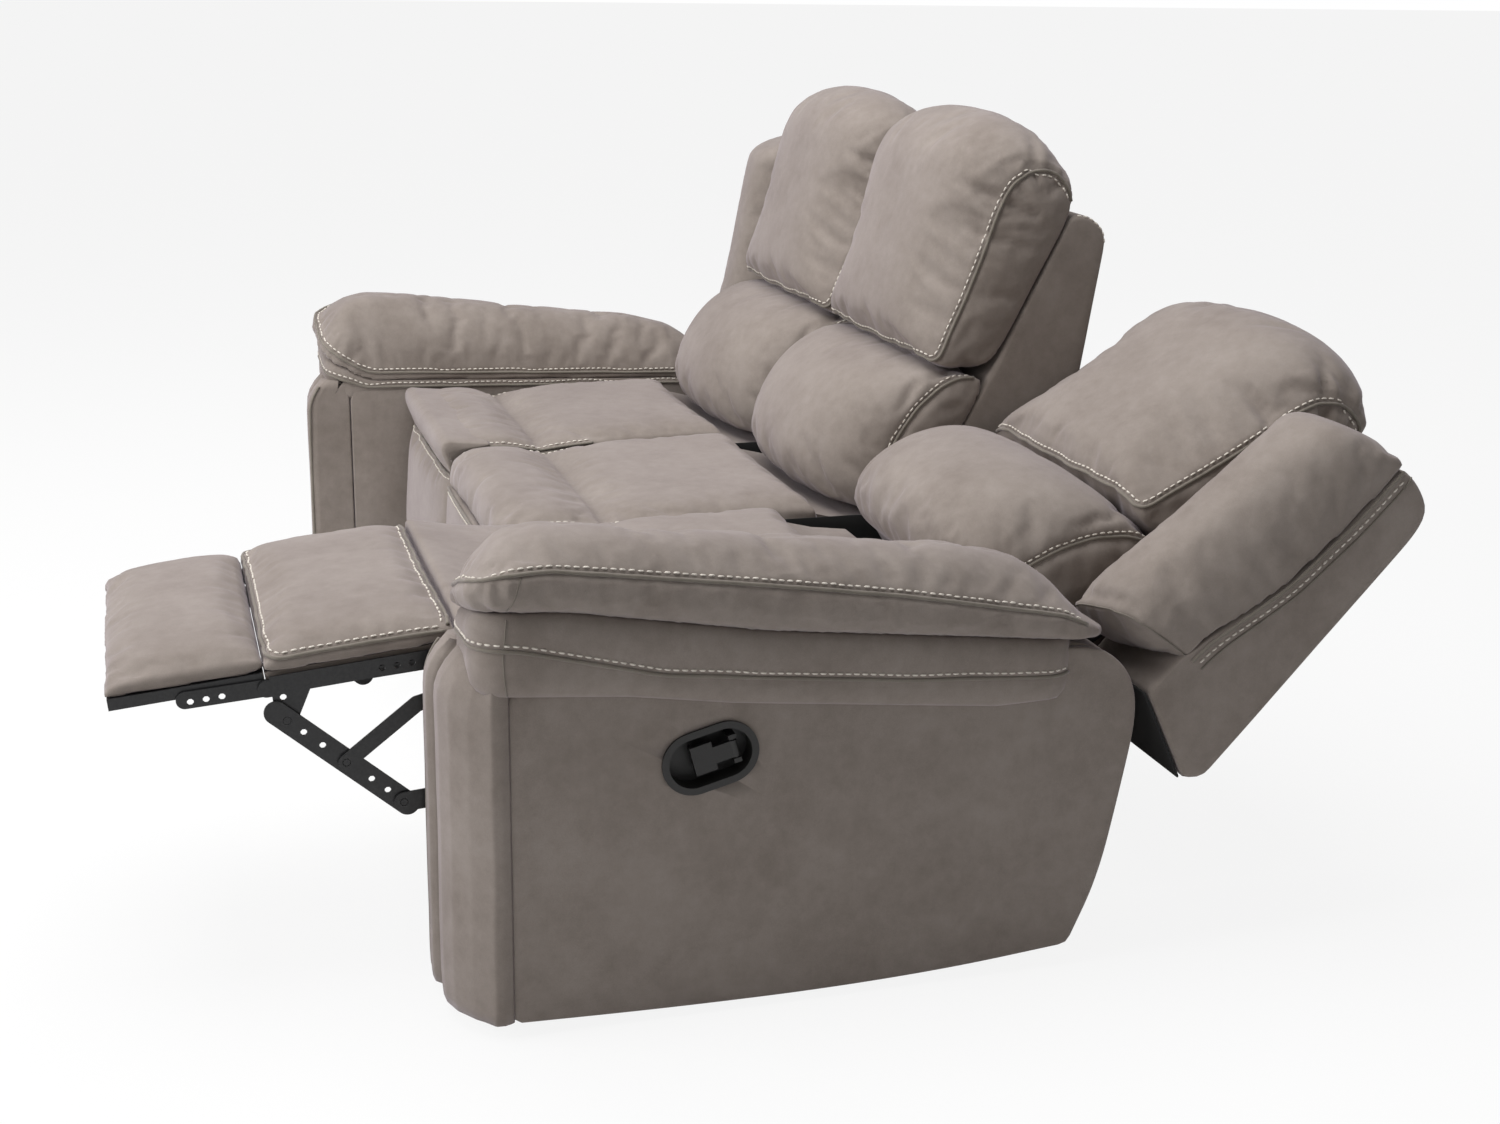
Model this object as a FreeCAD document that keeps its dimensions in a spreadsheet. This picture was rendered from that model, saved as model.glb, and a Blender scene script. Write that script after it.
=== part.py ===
import FreeCAD, Part
import Sketcher
import math
import os

# Three-seat reclining sofa, millimetres, +Z up, the seats face -Y.
# The near unit (+X) is shown fully reclined with its footrest out, the middle seat is fixed and
# the far unit (-X) is closed. Both recliners come from the same functions.
# "Sofa depth" Y runs from the arms' front line; every piece is shifted by origin_depth at the end.

SIZES = [
    # overall layout
    ("seat_width", 530, "pitch of the three seats"),
    ("arm_clearance", 2, "gap between the seat bays and the arms"),
    ("arm_width", 170, "width of an arm at its side panels"),
    ("origin_depth", 445, "origin's distance behind the arms' front line"),
    ("foot_height", 18, "height of the glides under the arms"),
    # arms
    ("panel_thickness", 12, "padded board of an arm's side"),
    ("panel_front", 22, "front edge of the side panel"),
    ("arm_rear_low", 771, "rear edge of the arm at the floor"),
    ("arm_rear_mid", 849, "rear edge of the arm at its shoulder"),
    ("arm_rear_mid_height", 357, "height of the shoulder's lower corner"),
    ("arm_shoulder_depth", 791, "depth of the shoulder's upper corner"),
    ("seam_front_height", 447, "seam between panel and band, front"),
    ("seam_rear_height", 366, "seam between panel and band, rear"),
    ("fold_front_height", 567, "fold between band and top pad, front"),
    ("fold_rear_height", 457, "fold between band and top pad, rear"),
    ("pad_front_height", 652, "top pad's upper line, front"),
    ("pad_rear_height", 557, "top pad's upper line, rear"),
    ("pad_front", -16, "front of band and top pad"),
    ("pad_front_radius", 52, "round of the top pad's front"),
    ("pad_rear_radius", 92, "round of the top pad's rear"),
    ("pad_roll_radius", 34, "round of the top pad's long edges"),
    ("band_overhang", 18, "band beyond the side panel"),
    ("pad_overhang", 36, "top pad beyond the side panel"),
    ("pad_inner_overhang", 4, "top pad beyond the inner panel"),
    ("band_radius", 16, "round of the band's outer edges"),
    ("front_panel_inner", -46, "front panel at its inner edge"),
    ("front_panel_nose", -56, "front panel at its furthest point"),
    ("front_panel_nose_inset", 20, "nose's distance from the inner edge"),
    ("post_width", 38, "front and rear posts inside an arm"),
    ("arm_rail_height", 42, "bottom rail inside an arm"),
    ("deck_thickness", 20, "deck under the arm's padding"),
    # base
    ("rail_thickness", 25, "cross rails"),
    ("rail_bottom", 60, "underside of the cross rails"),
    ("front_rail_depth", 440, "front cross rail's front face"),
    ("front_rail_height", 100, "front cross rail"),
    ("rear_rail_depth", 765, "rear cross rail's front face"),
    ("foot_radius", 18, "glides"),
    ("foot_inset", 46, "glides from the arm's ends"),
    ("leg_inset", 65, "centre legs from the edges of the middle seat"),
    ("leg_width", 25, "centre legs"),
    ("bolt_radius", 8, "bolt heads"),
    ("bolt_head", 5, "thickness of a bolt head"),
    ("bolt_spacing", 40, "bolt heads of a joint"),
    # carriage and track
    ("slide_forward", 80, "carriage travel, forward"),
    ("slide_up", 8, "carriage travel, up"),
    ("track_inset", 39, "track's middle from the edge of its seat"),
    ("track_width", 32, "U-shaped track, outside"),
    ("track_depth", 24, "U-shaped track, outside"),
    ("track_wall", 3, "U-shaped track"),
    ("track_front", 384, "track's front end"),
    ("track_rear", 800, "track's rear end"),
    ("runner_front", 404, "runner's front end, carriage back"),
    ("runner_rear", 716, "runner's rear end, carriage back"),
    ("running_clearance", 0.5, "runner in its track, links in their planes"),
    ("seat_gap", 0.3, "gap between padding and what carries it"),
    ("board_thickness", 26, "boards of the seat frame"),
    ("block_length", 25, "blocks between middle seat and rear cross rail"),
    ("frame_front", 250, "front of the seat frame"),
    ("frame_rear", 730, "rear of the seat frame"),
    ("frame_bottom", 230, "underside of the seat frame's side boards"),
    ("frame_top", 350, "top of the seat frame's side boards"),
    ("front_board_top", 396, "top of the seat frame's front board"),
    ("front_board_bottom", 362, "underside of a recliner's front board"),
    ("middle_board_bottom", 300, "underside of the middle seat's front board"),
    ("rear_board_bottom", 300, "underside of the seat frames' rear board"),
    ("post_depth", 70, "posts that carry the middle back"),
    ("post_bottom", 230, "underside of those posts"),
    ("spring_wire", 4, "sinuous springs"),
    ("spring_pitch", 56, "length of one zigzag"),
    ("spring_sway", 38, "width of one zigzag"),
    ("spring_spacing", 94, "distance between springs"),
    # seat cushions
    ("cushion_inset", 20, "recliner cushion from the edge of its seat"),
    ("cushion_front", 150, "front of the recliner cushion"),
    ("cushion_rear", 648, "rear of the seat cushions"),
    ("cushion_top", 464, "top of the seat cushions"),
    ("cushion_nose_radius", 44, "round of the cushion's front"),
    ("cushion_side_radius", 18, "round of the cushion's sides"),
    ("seam_front", 132, "closed footrest's top seam, depth"),
    ("seam_height", 412, "closed footrest's top seam, height"),
    ("nose_clearance", 1.5, "cushion's nose over the closed footrest"),
    ("footrest_clearance", 10, "cushion behind the closed footrest"),
    ("middle_front_bottom", 70, "lower edge of the middle seat's front"),
    ("middle_gap", 3, "middle seat's sides from its neighbours"),
    # footrest, in its own frame: u runs back along the underside, v is square to it
    ("footrest_angle", 80, "turn from open to closed"),
    ("footrest_tilt", 5.6, "open footrest's slope"),
    ("open_seam_depth", 67, "open footrest's top seam, depth in the carriage frame"),
    ("open_seam_height", 490, "open footrest's top seam, height in the carriage frame"),
    ("ottoman_length", 238, "main board, from its rear end"),
    ("flip_gap", 4, "between main and front pads"),
    ("flip_length", 186, "front board"),
    ("board_strip", 15, "wrapped boards under the pads"),
    ("ottoman_crown", 53, "main pad's height over its board's underside"),
    ("flip_crown", 50, "front pad's height over its board's underside"),
    ("pad_corner", 16, "round of the footrest pads' edges"),
    ("flip_angle", 180, "turn of the front pad against the main pad"),
    ("ottoman_inset", 13, "main pad from the edge of its seat"),
    ("flip_inset", 23, "front pad from the edge of its seat"),
    ("flip_hinge_drop", 4, "front pad's hinge below the boards"),
    # linkage planes and pivots
    ("plate", 3, "steel of the links"),
    ("plane_pitch", 4, "distance between the planes of the links"),
    ("link_room", 22.5, "innermost links' inner face from the edge of the seat"),
    ("toggle_run", 222, "front pivot, behind the main board's rear end along u"),
    ("toggle_drop", 48, "front pivot below the board"),
    ("link_offset_y", 140, "long link, from front to knee pivot"),
    ("link_offset_z", 122, "long link, from front to knee pivot"),
    ("link_width", 26, "links"),
    ("long_link_width", 30, "long link"),
    ("long_link_tail", 24, "long link beyond its pivots"),
    ("rear_elbow_y", 176, "rear link's elbow from its upper pivot"),
    ("rear_elbow_z", 112, "rear link's elbow from its upper pivot"),
    ("guide_elbow_y", 200, "guide link's elbow from its upper pivot"),
    ("guide_elbow_z", 52, "guide link's elbow from its upper pivot"),
    ("pin_radius", 5, "rivets and pivot pins"),
    ("pin_clearance", 0.3, "radial play of the pins"),
    ("rivet_head", 9, "radius of the rivet heads"),
    ("hole_radius", 4, "open holes in links and brackets"),
    ("hole_pitch", 19, "distance between open holes"),
    ("torque_tube_radius", 11, "tube between the two rear links"),
    ("bracket_flange", 24, "flange under the main board"),
    ("flange_front", 12, "flange's end from the main board's rear end"),
    ("flange_length", 104, "flange"),
    ("spacer_front", 190, "front spacer behind the rear links' pivot"),
    ("spacer_rear", 110, "rear spacer before the seat frame's rear"),
    ("flip_bracket_length", 96, "bracket along the front board"),
    ("main_hole_start", 60, "first open hole of the main bracket"),
    ("flip_hole_start", 52, "first open hole of the front bracket"),
    ("spacer_radius", 12, "spacers between side plates and seat frame"),
    # backs, upright
    ("recline_angle", 40, "turn of a back from upright to reclined"),
    ("back_pivot_depth", 762, "hinge of a back, carriage back"),
    ("back_pivot_height", 386, "hinge of a back, carriage back"),
    ("back_inset", 5, "back cushions from the edge of their seat"),
    ("shell_front_low_y", 812, "shell's front line, low end"),
    ("shell_front_low_z", 432, "shell's front line, low end"),
    ("shell_front_top_y", 1056, "shell's front line, top end"),
    ("shell_front_top_z", 913, "shell's front line, top end"),
    ("shell_rear_top_y", 1119, "shell's rear line, top end"),
    ("shell_rear_top_z", 882, "shell's rear line, top end"),
    ("shell_rear_low_y", 1056, "shell's rear line, low end"),
    ("shell_rear_low_z", 442, "shell's rear line, low end"),
    ("shell_corner_radius", 14, "round of the shell's rear corners"),
    ("lumbar_front", 655, "lower cushion, front of its foot"),
    ("lumbar_foot", 438, "lower cushion, its underside"),
    ("lumbar_belly_y", 702, "lower cushion, belly"),
    ("lumbar_belly_z", 588, "lower cushion, belly"),
    ("lumbar_top_y", 800, "lower cushion, top front"),
    ("lumbar_top_z", 670, "lower cushion, top front"),
    ("lumbar_radius", 42, "round of the lower cushion"),
    ("upper_foot_y", 842, "upper cushion, rear of its foot"),
    ("upper_foot_z", 676, "upper cushion, foot"),
    ("upper_front_y", 800, "upper cushion, front of its foot"),
    ("upper_front_z", 692, "upper cushion, front of its foot"),
    ("upper_top_front_y", 902, "upper cushion, front of its top"),
    ("upper_top_z", 1050, "upper cushion, top"),
    ("upper_top_rear_y", 1062, "upper cushion, rear of its top"),
    ("upper_rear_z", 1012, "upper cushion, rear of its top"),
    ("upper_front_radius", 78, "round of the upper cushion's front"),
    ("upper_rear_radius", 58, "round of the upper cushion's rear"),
    ("upper_foot_radius", 18, "round of the upper cushion's foot"),
    ("side_round", 20, "round of the back cushions' sides"),
    # wings
    ("wing_outer", 5, "wing's shell beyond the arm's side panel"),
    ("wing_foot_y", 907, "wing shell, front of its foot"),
    ("wing_foot_z", 490, "wing shell, front of its foot"),
    ("wing_rear_foot_y", 1034, "wing shell, rear of its foot"),
    ("wing_rear_foot_z", 430, "wing shell, rear of its foot"),
    ("wing_rear_top_y", 1072, "wing shell, rear of its top"),
    ("wing_top_z", 918, "wing shell, top"),
    ("flange_low_z", 547, "flange between wing roll and shell, low"),
    ("flange_mid_y", 971, "flange between wing roll and shell, middle"),
    ("flange_mid_z", 724, "flange between wing roll and shell, middle"),
    ("flange_top_y", 988, "flange between wing roll and shell, top"),
    ("roll_foot_y", 812, "wing roll, front of its foot"),
    ("roll_foot_z", 503, "wing roll, front of its foot"),
    ("roll_top_y", 892, "wing roll, front of its top"),
    ("roll_top_z", 946, "wing roll, top"),
    ("roll_radius", 24, "round of the wing roll"),
    ("roll_overhang", 18, "wing roll beyond the arm's side panel"),
    # back brackets
    ("bracket_elbow_y", 860, "bracket's elbow"),
    ("bracket_elbow_z", 408, "bracket's elbow"),
    ("bracket_seat", 36, "bracket's upper end behind the shell's front line"),
    ("bracket_top_z", 545, "bracket's upper end on the shell's side"),
    # pull handle
    ("handle_depth", 269, "handle's centre"),
    ("handle_height", 349, "handle's centre"),
    ("handle_tilt", 15, "handle's rise to the rear"),
    ("handle_length", 125, "bezel, outside"),
    ("handle_width", 82, "bezel, outside"),
    ("bezel_rim", 9, "bezel's rim"),
    ("bezel_proud", 4, "rim in front of the side panel"),
    ("bezel_wall", 2.5, "tray walls"),
    ("tray_depth", 26, "tray below the side panel's face"),
    ("lever_hinge", 33, "lever's hinge behind the handle's centre"),
    ("lever_front", 22, "lever's front end before the handle's centre"),
    ("paddle_half", 19, "half width of the paddle"),
    ("stem_half", 11, "half width of the stem"),
    ("paddle_length", 28, "paddle, without the stem"),
    ("lever_thickness", 7, "lever"),
    ("lever_barrel", 5, "radius of the lever's hinge barrel"),
    ("lever_pin", 3, "radius of the lever's hinge pin"),
    ("lever_ear", 6, "ears that hold the lever's pin"),
    ("lever_play", 2, "lever between its ears"),
]


class Dim:
    """A size that knows its number and the sheet formula it comes from."""

    def __init__(self, value, text):
        self.value = value
        self.text = text

    def combine(self, other, sign, value):
        return Dim(value, "(%s %s %s)" % (self.text, sign, other.text))

    def __add__(self, other):
        other = dim(other)
        return self.combine(other, "+", self.value + other.value)

    def __sub__(self, other):
        other = dim(other)
        return self.combine(other, "-", self.value - other.value)

    def __mul__(self, other):
        other = dim(other)
        return self.combine(other, "*", self.value * other.value)

    def __truediv__(self, other):
        other = dim(other)
        return self.combine(other, "/", self.value / other.value)

    def __radd__(self, other):
        return dim(other) + self

    def __rsub__(self, other):
        return dim(other) - self

    def __rmul__(self, other):
        return dim(other) * self

    def __neg__(self):
        return dim(0) - self


def dim(number):
    if isinstance(number, Dim):
        return number
    return Dim(float(number), "(%r)" % float(number))


# The many small pins and holes are octagonal, which keeps their facets few.
EYELET_SIDES = 8

doc = FreeCAD.newDocument("reclining_sofa")
sheet = doc.addObject("Spreadsheet::Sheet", "Sizes")
for row, (alias, number, meaning) in enumerate(SIZES, start=1):
    sheet.set("A%d" % row, meaning)
    sheet.set("B%d" % row, str(number))
    sheet.setAlias("B%d" % row, alias)
doc.recompute()


class Sheet:
    """Gives each cell of the sheet as a Dim, by its alias."""

    def __getattr__(self, alias):
        return Dim(float(sheet.get(alias)), "Sizes." + alias)


z = Sheet()
nodes = {}


def bind(item, prop, size):
    item.setExpression(prop, dim(size).text)


def keep(label, item, placement=None):
    """Names a finished piece and sets it in the sofa's frame."""
    item.Label = label
    nodes[label] = (item, placement or FreeCAD.Placement())
    return item


def plane(body, role):
    return [item for item in body.Origin.OriginFeatures if item.Role == role][0]


def new_sketch(body, role, offset=None):
    sketch = body.newObject("Sketcher::SketchObject", "Sketch")
    sketch.AttachmentSupport = (plane(body, role), [""])
    sketch.MapMode = "FlatFace"
    if offset is not None:
        bind(sketch, "AttachmentOffset.Base.z", offset)
    return sketch


def fix_point(sketch, geometry, point, first, second):
    """Ties a sketch point to two sheet formulas, also where one of them is zero or negative."""
    for kind, size in (("DistanceX", first), ("DistanceY", second)):
        size = dim(size)
        index = sketch.addConstraint(
            Sketcher.Constraint(kind, -1, 1, geometry, point, size.value))
        sketch.setExpression("Constraints[%d]" % index, size.text)


def draw_polygon(sketch, points):
    vectors = [FreeCAD.Vector(dim(a).value, dim(b).value, 0) for a, b in points]
    first = sketch.GeometryCount
    count = len(points)
    for index in range(count):
        sketch.addGeometry(Part.LineSegment(vectors[index], vectors[(index + 1) % count]), False)
    for index in range(count):
        after = (index + 1) % count
        sketch.addConstraint(
            Sketcher.Constraint("Coincident", first + index, 2, first + after, 1))
    for index, (a, b) in enumerate(points):
        fix_point(sketch, first + index, 1, a, b)


def draw_eyelet(sketch, centre, radius):
    """A hole with few flats; the radius is that of the largest pin that turns in it."""
    corner = 1 / math.cos(math.pi / EYELET_SIDES)
    points = []
    for index in range(EYELET_SIDES):
        angle = (index + 0.5) * 2 * math.pi / EYELET_SIDES
        points.append((centre[0] + radius * (corner * math.cos(angle)),
                       centre[1] + radius * (corner * math.sin(angle))))
    draw_polygon(sketch, points)


def draw_slot(sketch, start, end, radius):
    """A bar with round ends between two points."""
    radius = dim(radius)
    p = FreeCAD.Vector(dim(start[0]).value, dim(start[1]).value, 0)
    q = FreeCAD.Vector(dim(end[0]).value, dim(end[1]).value, 0)
    along = math.atan2(q.y - p.y, q.x - p.x)
    up = FreeCAD.Vector(-math.sin(along), math.cos(along), 0) * radius.value
    normal = FreeCAD.Vector(0, 0, 1)
    first = sketch.GeometryCount
    half = math.pi / 2
    sketch.addGeometry(Part.ArcOfCircle(
        Part.Circle(p, normal, radius.value), along + half, along + 3 * half), False)
    sketch.addGeometry(Part.ArcOfCircle(
        Part.Circle(q, normal, radius.value), along - half, along + half), False)
    sketch.addGeometry(Part.LineSegment(p - up, q - up), False)
    sketch.addGeometry(Part.LineSegment(q + up, p + up), False)
    joined = ((first, 2, first + 2, 1), (first + 2, 2, first + 1, 1),
              (first + 1, 2, first + 3, 1), (first + 3, 2, first, 1))
    for ends in joined:
        sketch.addConstraint(Sketcher.Constraint("Tangent", *ends))
    fix_point(sketch, first, 3, *start)
    fix_point(sketch, first + 1, 3, *end)
    number = sketch.addConstraint(Sketcher.Constraint("Radius", first, radius.value))
    sketch.setExpression("Constraints[%d]" % number, radius.text)


def add_pad(body, sketch, length):
    pad = body.newObject("PartDesign::Pad", "Pad")
    pad.Profile = sketch
    bind(pad, "Length", length)
    sketch.Visibility = False
    return pad


def round_edges(body, feature, radius, chosen):
    """Fillets the edges of a feature for which chosen(edge) is true."""
    doc.recompute()
    names = ["Edge%d" % (number + 1)
             for number, edge in enumerate(feature.Shape.Edges) if chosen(edge)]
    if not names:
        return feature
    fillet = body.newObject("PartDesign::Fillet", "Fillet")
    fillet.Base = (feature, names)
    bind(fillet, "Radius", radius)
    doc.recompute()
    return fillet


def near_point(edge, first, second):
    """True for an edge along X that passes through the given depth and height."""
    if len(edge.Vertexes) < 2:
        return False
    a, b = edge.Vertexes[0].Point, edge.Vertexes[-1].Point
    along_x = abs(a.y - b.y) < 1e-3 and abs(a.z - b.z) < 1e-3 and abs(a.x - b.x) > 1e-3
    here = abs(a.y - dim(first).value) < 0.05 and abs(a.z - dim(second).value) < 0.05
    return along_x and here


def profile_body(outline, start, width, corners=(), side=None):
    """A side outline in (depth, height), extruded along X from start.

    corners lists (index of the outline's point, radius); side rounds both end faces' rims."""
    body = doc.addObject("PartDesign::Body", "Body")
    sketch = new_sketch(body, "YZ_Plane", start)
    draw_polygon(sketch, outline)
    feature = add_pad(body, sketch, width)
    for index, radius in corners:
        point = outline[index]
        feature = round_edges(body, feature, radius, lambda edge: near_point(edge, *point))
    if side is not None:
        low, high = dim(start).value, (dim(start) + width).value

        def on_rim(edge):
            xs = [vertex.Point.x for vertex in edge.Vertexes]
            return (all(abs(x - low) < 1e-3 for x in xs)
                    or all(abs(x - high) < 1e-3 for x in xs))

        feature = round_edges(body, feature, side, on_rim)
    body.Tip = feature
    return body


def bars_body(bars, start, width, holes=(), extra=None):
    """A plate of round-ended bars, with holes, in the (depth, height) plane."""
    body = doc.addObject("PartDesign::Body", "Body")
    feature = None
    for first, second, radius in bars:
        sketch = new_sketch(body, "YZ_Plane", start)
        draw_slot(sketch, first, second, radius)
        feature = add_pad(body, sketch, width)
    if extra is not None:
        sketch = new_sketch(body, "YZ_Plane", start)
        draw_polygon(sketch, extra)
        feature = add_pad(body, sketch, width)
    if holes:
        doc.recompute()
        before = body.Shape.Volume
        sketch = new_sketch(body, "YZ_Plane", start)
        for centre, radius in holes:
            draw_eyelet(sketch, centre, radius)
        feature = body.newObject("PartDesign::Pocket", "Pocket")
        feature.Profile = sketch
        feature.Reversed = True
        bind(feature, "Length", width)
        doc.recompute()
        if not body.Shape.Volume < before - 1:
            raise RuntimeError("the holes of a plate cut nothing")
    body.Tip = feature
    return body


def box(start, size):
    """A plain board: start and size are (X, depth, height)."""
    board = doc.addObject("Part::Box", "Board")
    for prop, length in zip(("Length", "Width", "Height"), size):
        bind(board, prop, length)
    for prop, place in zip("xyz", start):
        bind(board, "Placement.Base." + prop, place)
    return board


def rod(start, length, radius):
    """A round bar along +X."""
    bar = doc.addObject("Part::Cylinder", "Rod")
    bind(bar, "Radius", radius)
    bind(bar, "Height", length)
    bar.Placement.Rotation = FreeCAD.Rotation(FreeCAD.Vector(0, 1, 0), 90)
    for prop, place in zip("xyz", start):
        bind(bar, "Placement.Base." + prop, place)
    return bar


def pin_bar(start, length, radius, sides=EYELET_SIDES):
    """A slim pin along +X with few flats."""
    bar = doc.addObject("Part::Prism", "Pin")
    bar.Polygon = sides
    bind(bar, "Circumradius", radius)
    bind(bar, "Height", length)
    bar.Placement.Rotation = FreeCAD.Rotation(FreeCAD.Vector(0, 1, 0), 90)
    for prop, place in zip("xyz", start):
        bind(bar, "Placement.Base." + prop, place)
    return bar


def stud(start, height, radius):
    """A round piece along +Z."""
    piece = doc.addObject("Part::Cylinder", "Stud")
    bind(piece, "Radius", radius)
    bind(piece, "Height", height)
    for prop, place in zip("xyz", start):
        bind(piece, "Placement.Base." + prop, place)
    return piece


def group(pieces):
    bundle = doc.addObject("Part::Compound", "Group")
    bundle.Links = pieces
    return bundle


def fused(pieces):
    whole = doc.addObject("Part::MultiFuse", "Fused")
    whole.Shapes = pieces
    return whole


def cut(base, tool):
    rest = doc.addObject("Part::Cut", "Cut")
    rest.Base = base
    rest.Tool = tool
    return rest


# Places that several pieces share, as (depth, height).

half_seat = z.seat_width / 2
track_centre = half_seat - z.track_inset
cushion_half = half_seat - z.cushion_inset
ottoman_half = half_seat - z.ottoman_inset
flip_half = half_seat - z.flip_inset
back_half = half_seat - z.back_inset
first_plane = half_seat - z.link_room
arm_inner = half_seat + z.seat_width + z.arm_clearance
arm_outer = arm_inner + z.arm_width
panel_inner = arm_outer - z.panel_thickness
seat_centre = z.seat_width


def span(side, low, width):
    """Start along X of something that lies from low outwards on the +X side."""
    if side > 0:
        return dim(low)
    return -(dim(low) + width)


def along_seam(depth):
    """Height of the seam over an arm's side panel."""
    slope = (z.seam_rear_height - z.seam_front_height) / (z.arm_rear_mid - z.panel_front)
    return z.seam_front_height + slope * (dim(depth) - z.panel_front)


def turned(point, angle, centre):
    """Turns a (depth, height) point about a centre, degrees, +Y towards +Z."""
    c, s = math.cos(math.radians(angle)), math.sin(math.radians(angle))
    y, h = point[0] - centre[0], point[1] - centre[1]
    return (centre[0] + c * y - s * h, centre[1] + s * y + c * h)


def numbers(point):
    return (dim(point[0]).value, dim(point[1]).value)


# Closing turns the footrest about a centre that the seam's open and closed places fix.

open_seam = (z.open_seam_depth, z.open_seam_height)
closed_seam = (z.seam_front, z.seam_height)
half_turn = "tan(Sizes.footrest_angle * 1 deg / 2)"
spread = Dim(1 / math.tan(math.radians(z.footrest_angle.value / 2)), "(1 / %s)" % half_turn)
turn_centre = (
    (open_seam[0] + closed_seam[0]) / 2 + (open_seam[1] - closed_seam[1]) * spread / 2,
    (open_seam[1] + closed_seam[1]) / 2 + (closed_seam[0] - open_seam[0]) * spread / 2,
)

tilt_cos = Dim(math.cos(math.radians(z.footrest_tilt.value)), "cos(Sizes.footrest_tilt * 1 deg)")
tilt_sin = Dim(math.sin(math.radians(z.footrest_tilt.value)), "sin(Sizes.footrest_tilt * 1 deg)")


def open_place(run, rise):
    """Carriage-frame place of a point of the open footrest: run towards the front from the main
    board's rear end, rise from the boards' underside."""
    low_y = open_seam[0] + z.ottoman_crown * tilt_sin
    low_z = open_seam[1] - z.ottoman_crown * tilt_cos
    run, rise = dim(run), dim(rise)
    return (low_y - run * tilt_cos - rise * tilt_sin, low_z - run * tilt_sin + rise * tilt_cos)


toggle = open_place(z.toggle_run, -z.toggle_drop)
knee = (toggle[0] + z.link_offset_y, toggle[1] - z.link_offset_z)
rear_pivot = (turn_centre[0] + z.link_offset_y, turn_centre[1] - z.link_offset_z)
guide_low = ((toggle[0] + knee[0]) / 2, (toggle[1] + knee[1]) / 2)
guide_pivot = ((turn_centre[0] + rear_pivot[0]) / 2, (turn_centre[1] + rear_pivot[1]) / 2)
flip_hinge = open_place(z.ottoman_length + z.flip_gap / 2, -z.flip_hinge_drop)
back_pivot = (z.back_pivot_depth, z.back_pivot_height)

CLOSED, OPEN = 0.0, 1.0


def moved(body, state):
    """Placement of a piece of a recliner: pieces of the back are drawn upright, those of the
    footrest open, all of them with the carriage at the back of its track."""
    forward = FreeCAD.Vector(0, -z.slide_forward.value * state, z.slide_up.value * state)
    shift = FreeCAD.Placement(forward, FreeCAD.Rotation())

    def about(point, angle):
        centre = FreeCAD.Vector(0, *numbers(point))
        return FreeCAD.Placement(
            FreeCAD.Vector(), FreeCAD.Rotation(FreeCAD.Vector(1, 0, 0), angle), centre)

    closing = z.footrest_angle.value * (1 - state)
    if body == "back":
        return shift.multiply(about(back_pivot, -z.recline_angle.value * state))
    if body == "footrest":
        return shift.multiply(about(turn_centre, closing))
    if body == "flip":
        folding = about(flip_hinge, z.flip_angle.value * (1 - state))
        return shift.multiply(about(turn_centre, closing)).multiply(folding)
    if body == "rear_link":
        return shift.multiply(about(rear_pivot, closing))
    if body == "guide_link":
        return shift.multiply(about(guide_pivot, closing))
    if body == "long_link":
        y, h = turned(numbers(toggle), closing, numbers(turn_centre))
        step = FreeCAD.Vector(0, y - toggle[0].value, h - toggle[1].value)
        return shift.multiply(FreeCAD.Placement(step, FreeCAD.Rotation()))
    return shift


def plane_start(number, side, outer):
    """Start along X of the linkage plane of that number, for the outer or inner side of a seat."""
    inset = first_plane + number * z.plane_pitch
    if (side > 0) == outer:
        return side * seat_centre + inset
    return side * seat_centre - inset - z.plate


def both_sides(side, number, maker):
    """The same plate on the seat's two sides, in one linkage plane."""
    return [maker(plane_start(number, side, outer)) for outer in (True, False)]


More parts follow.
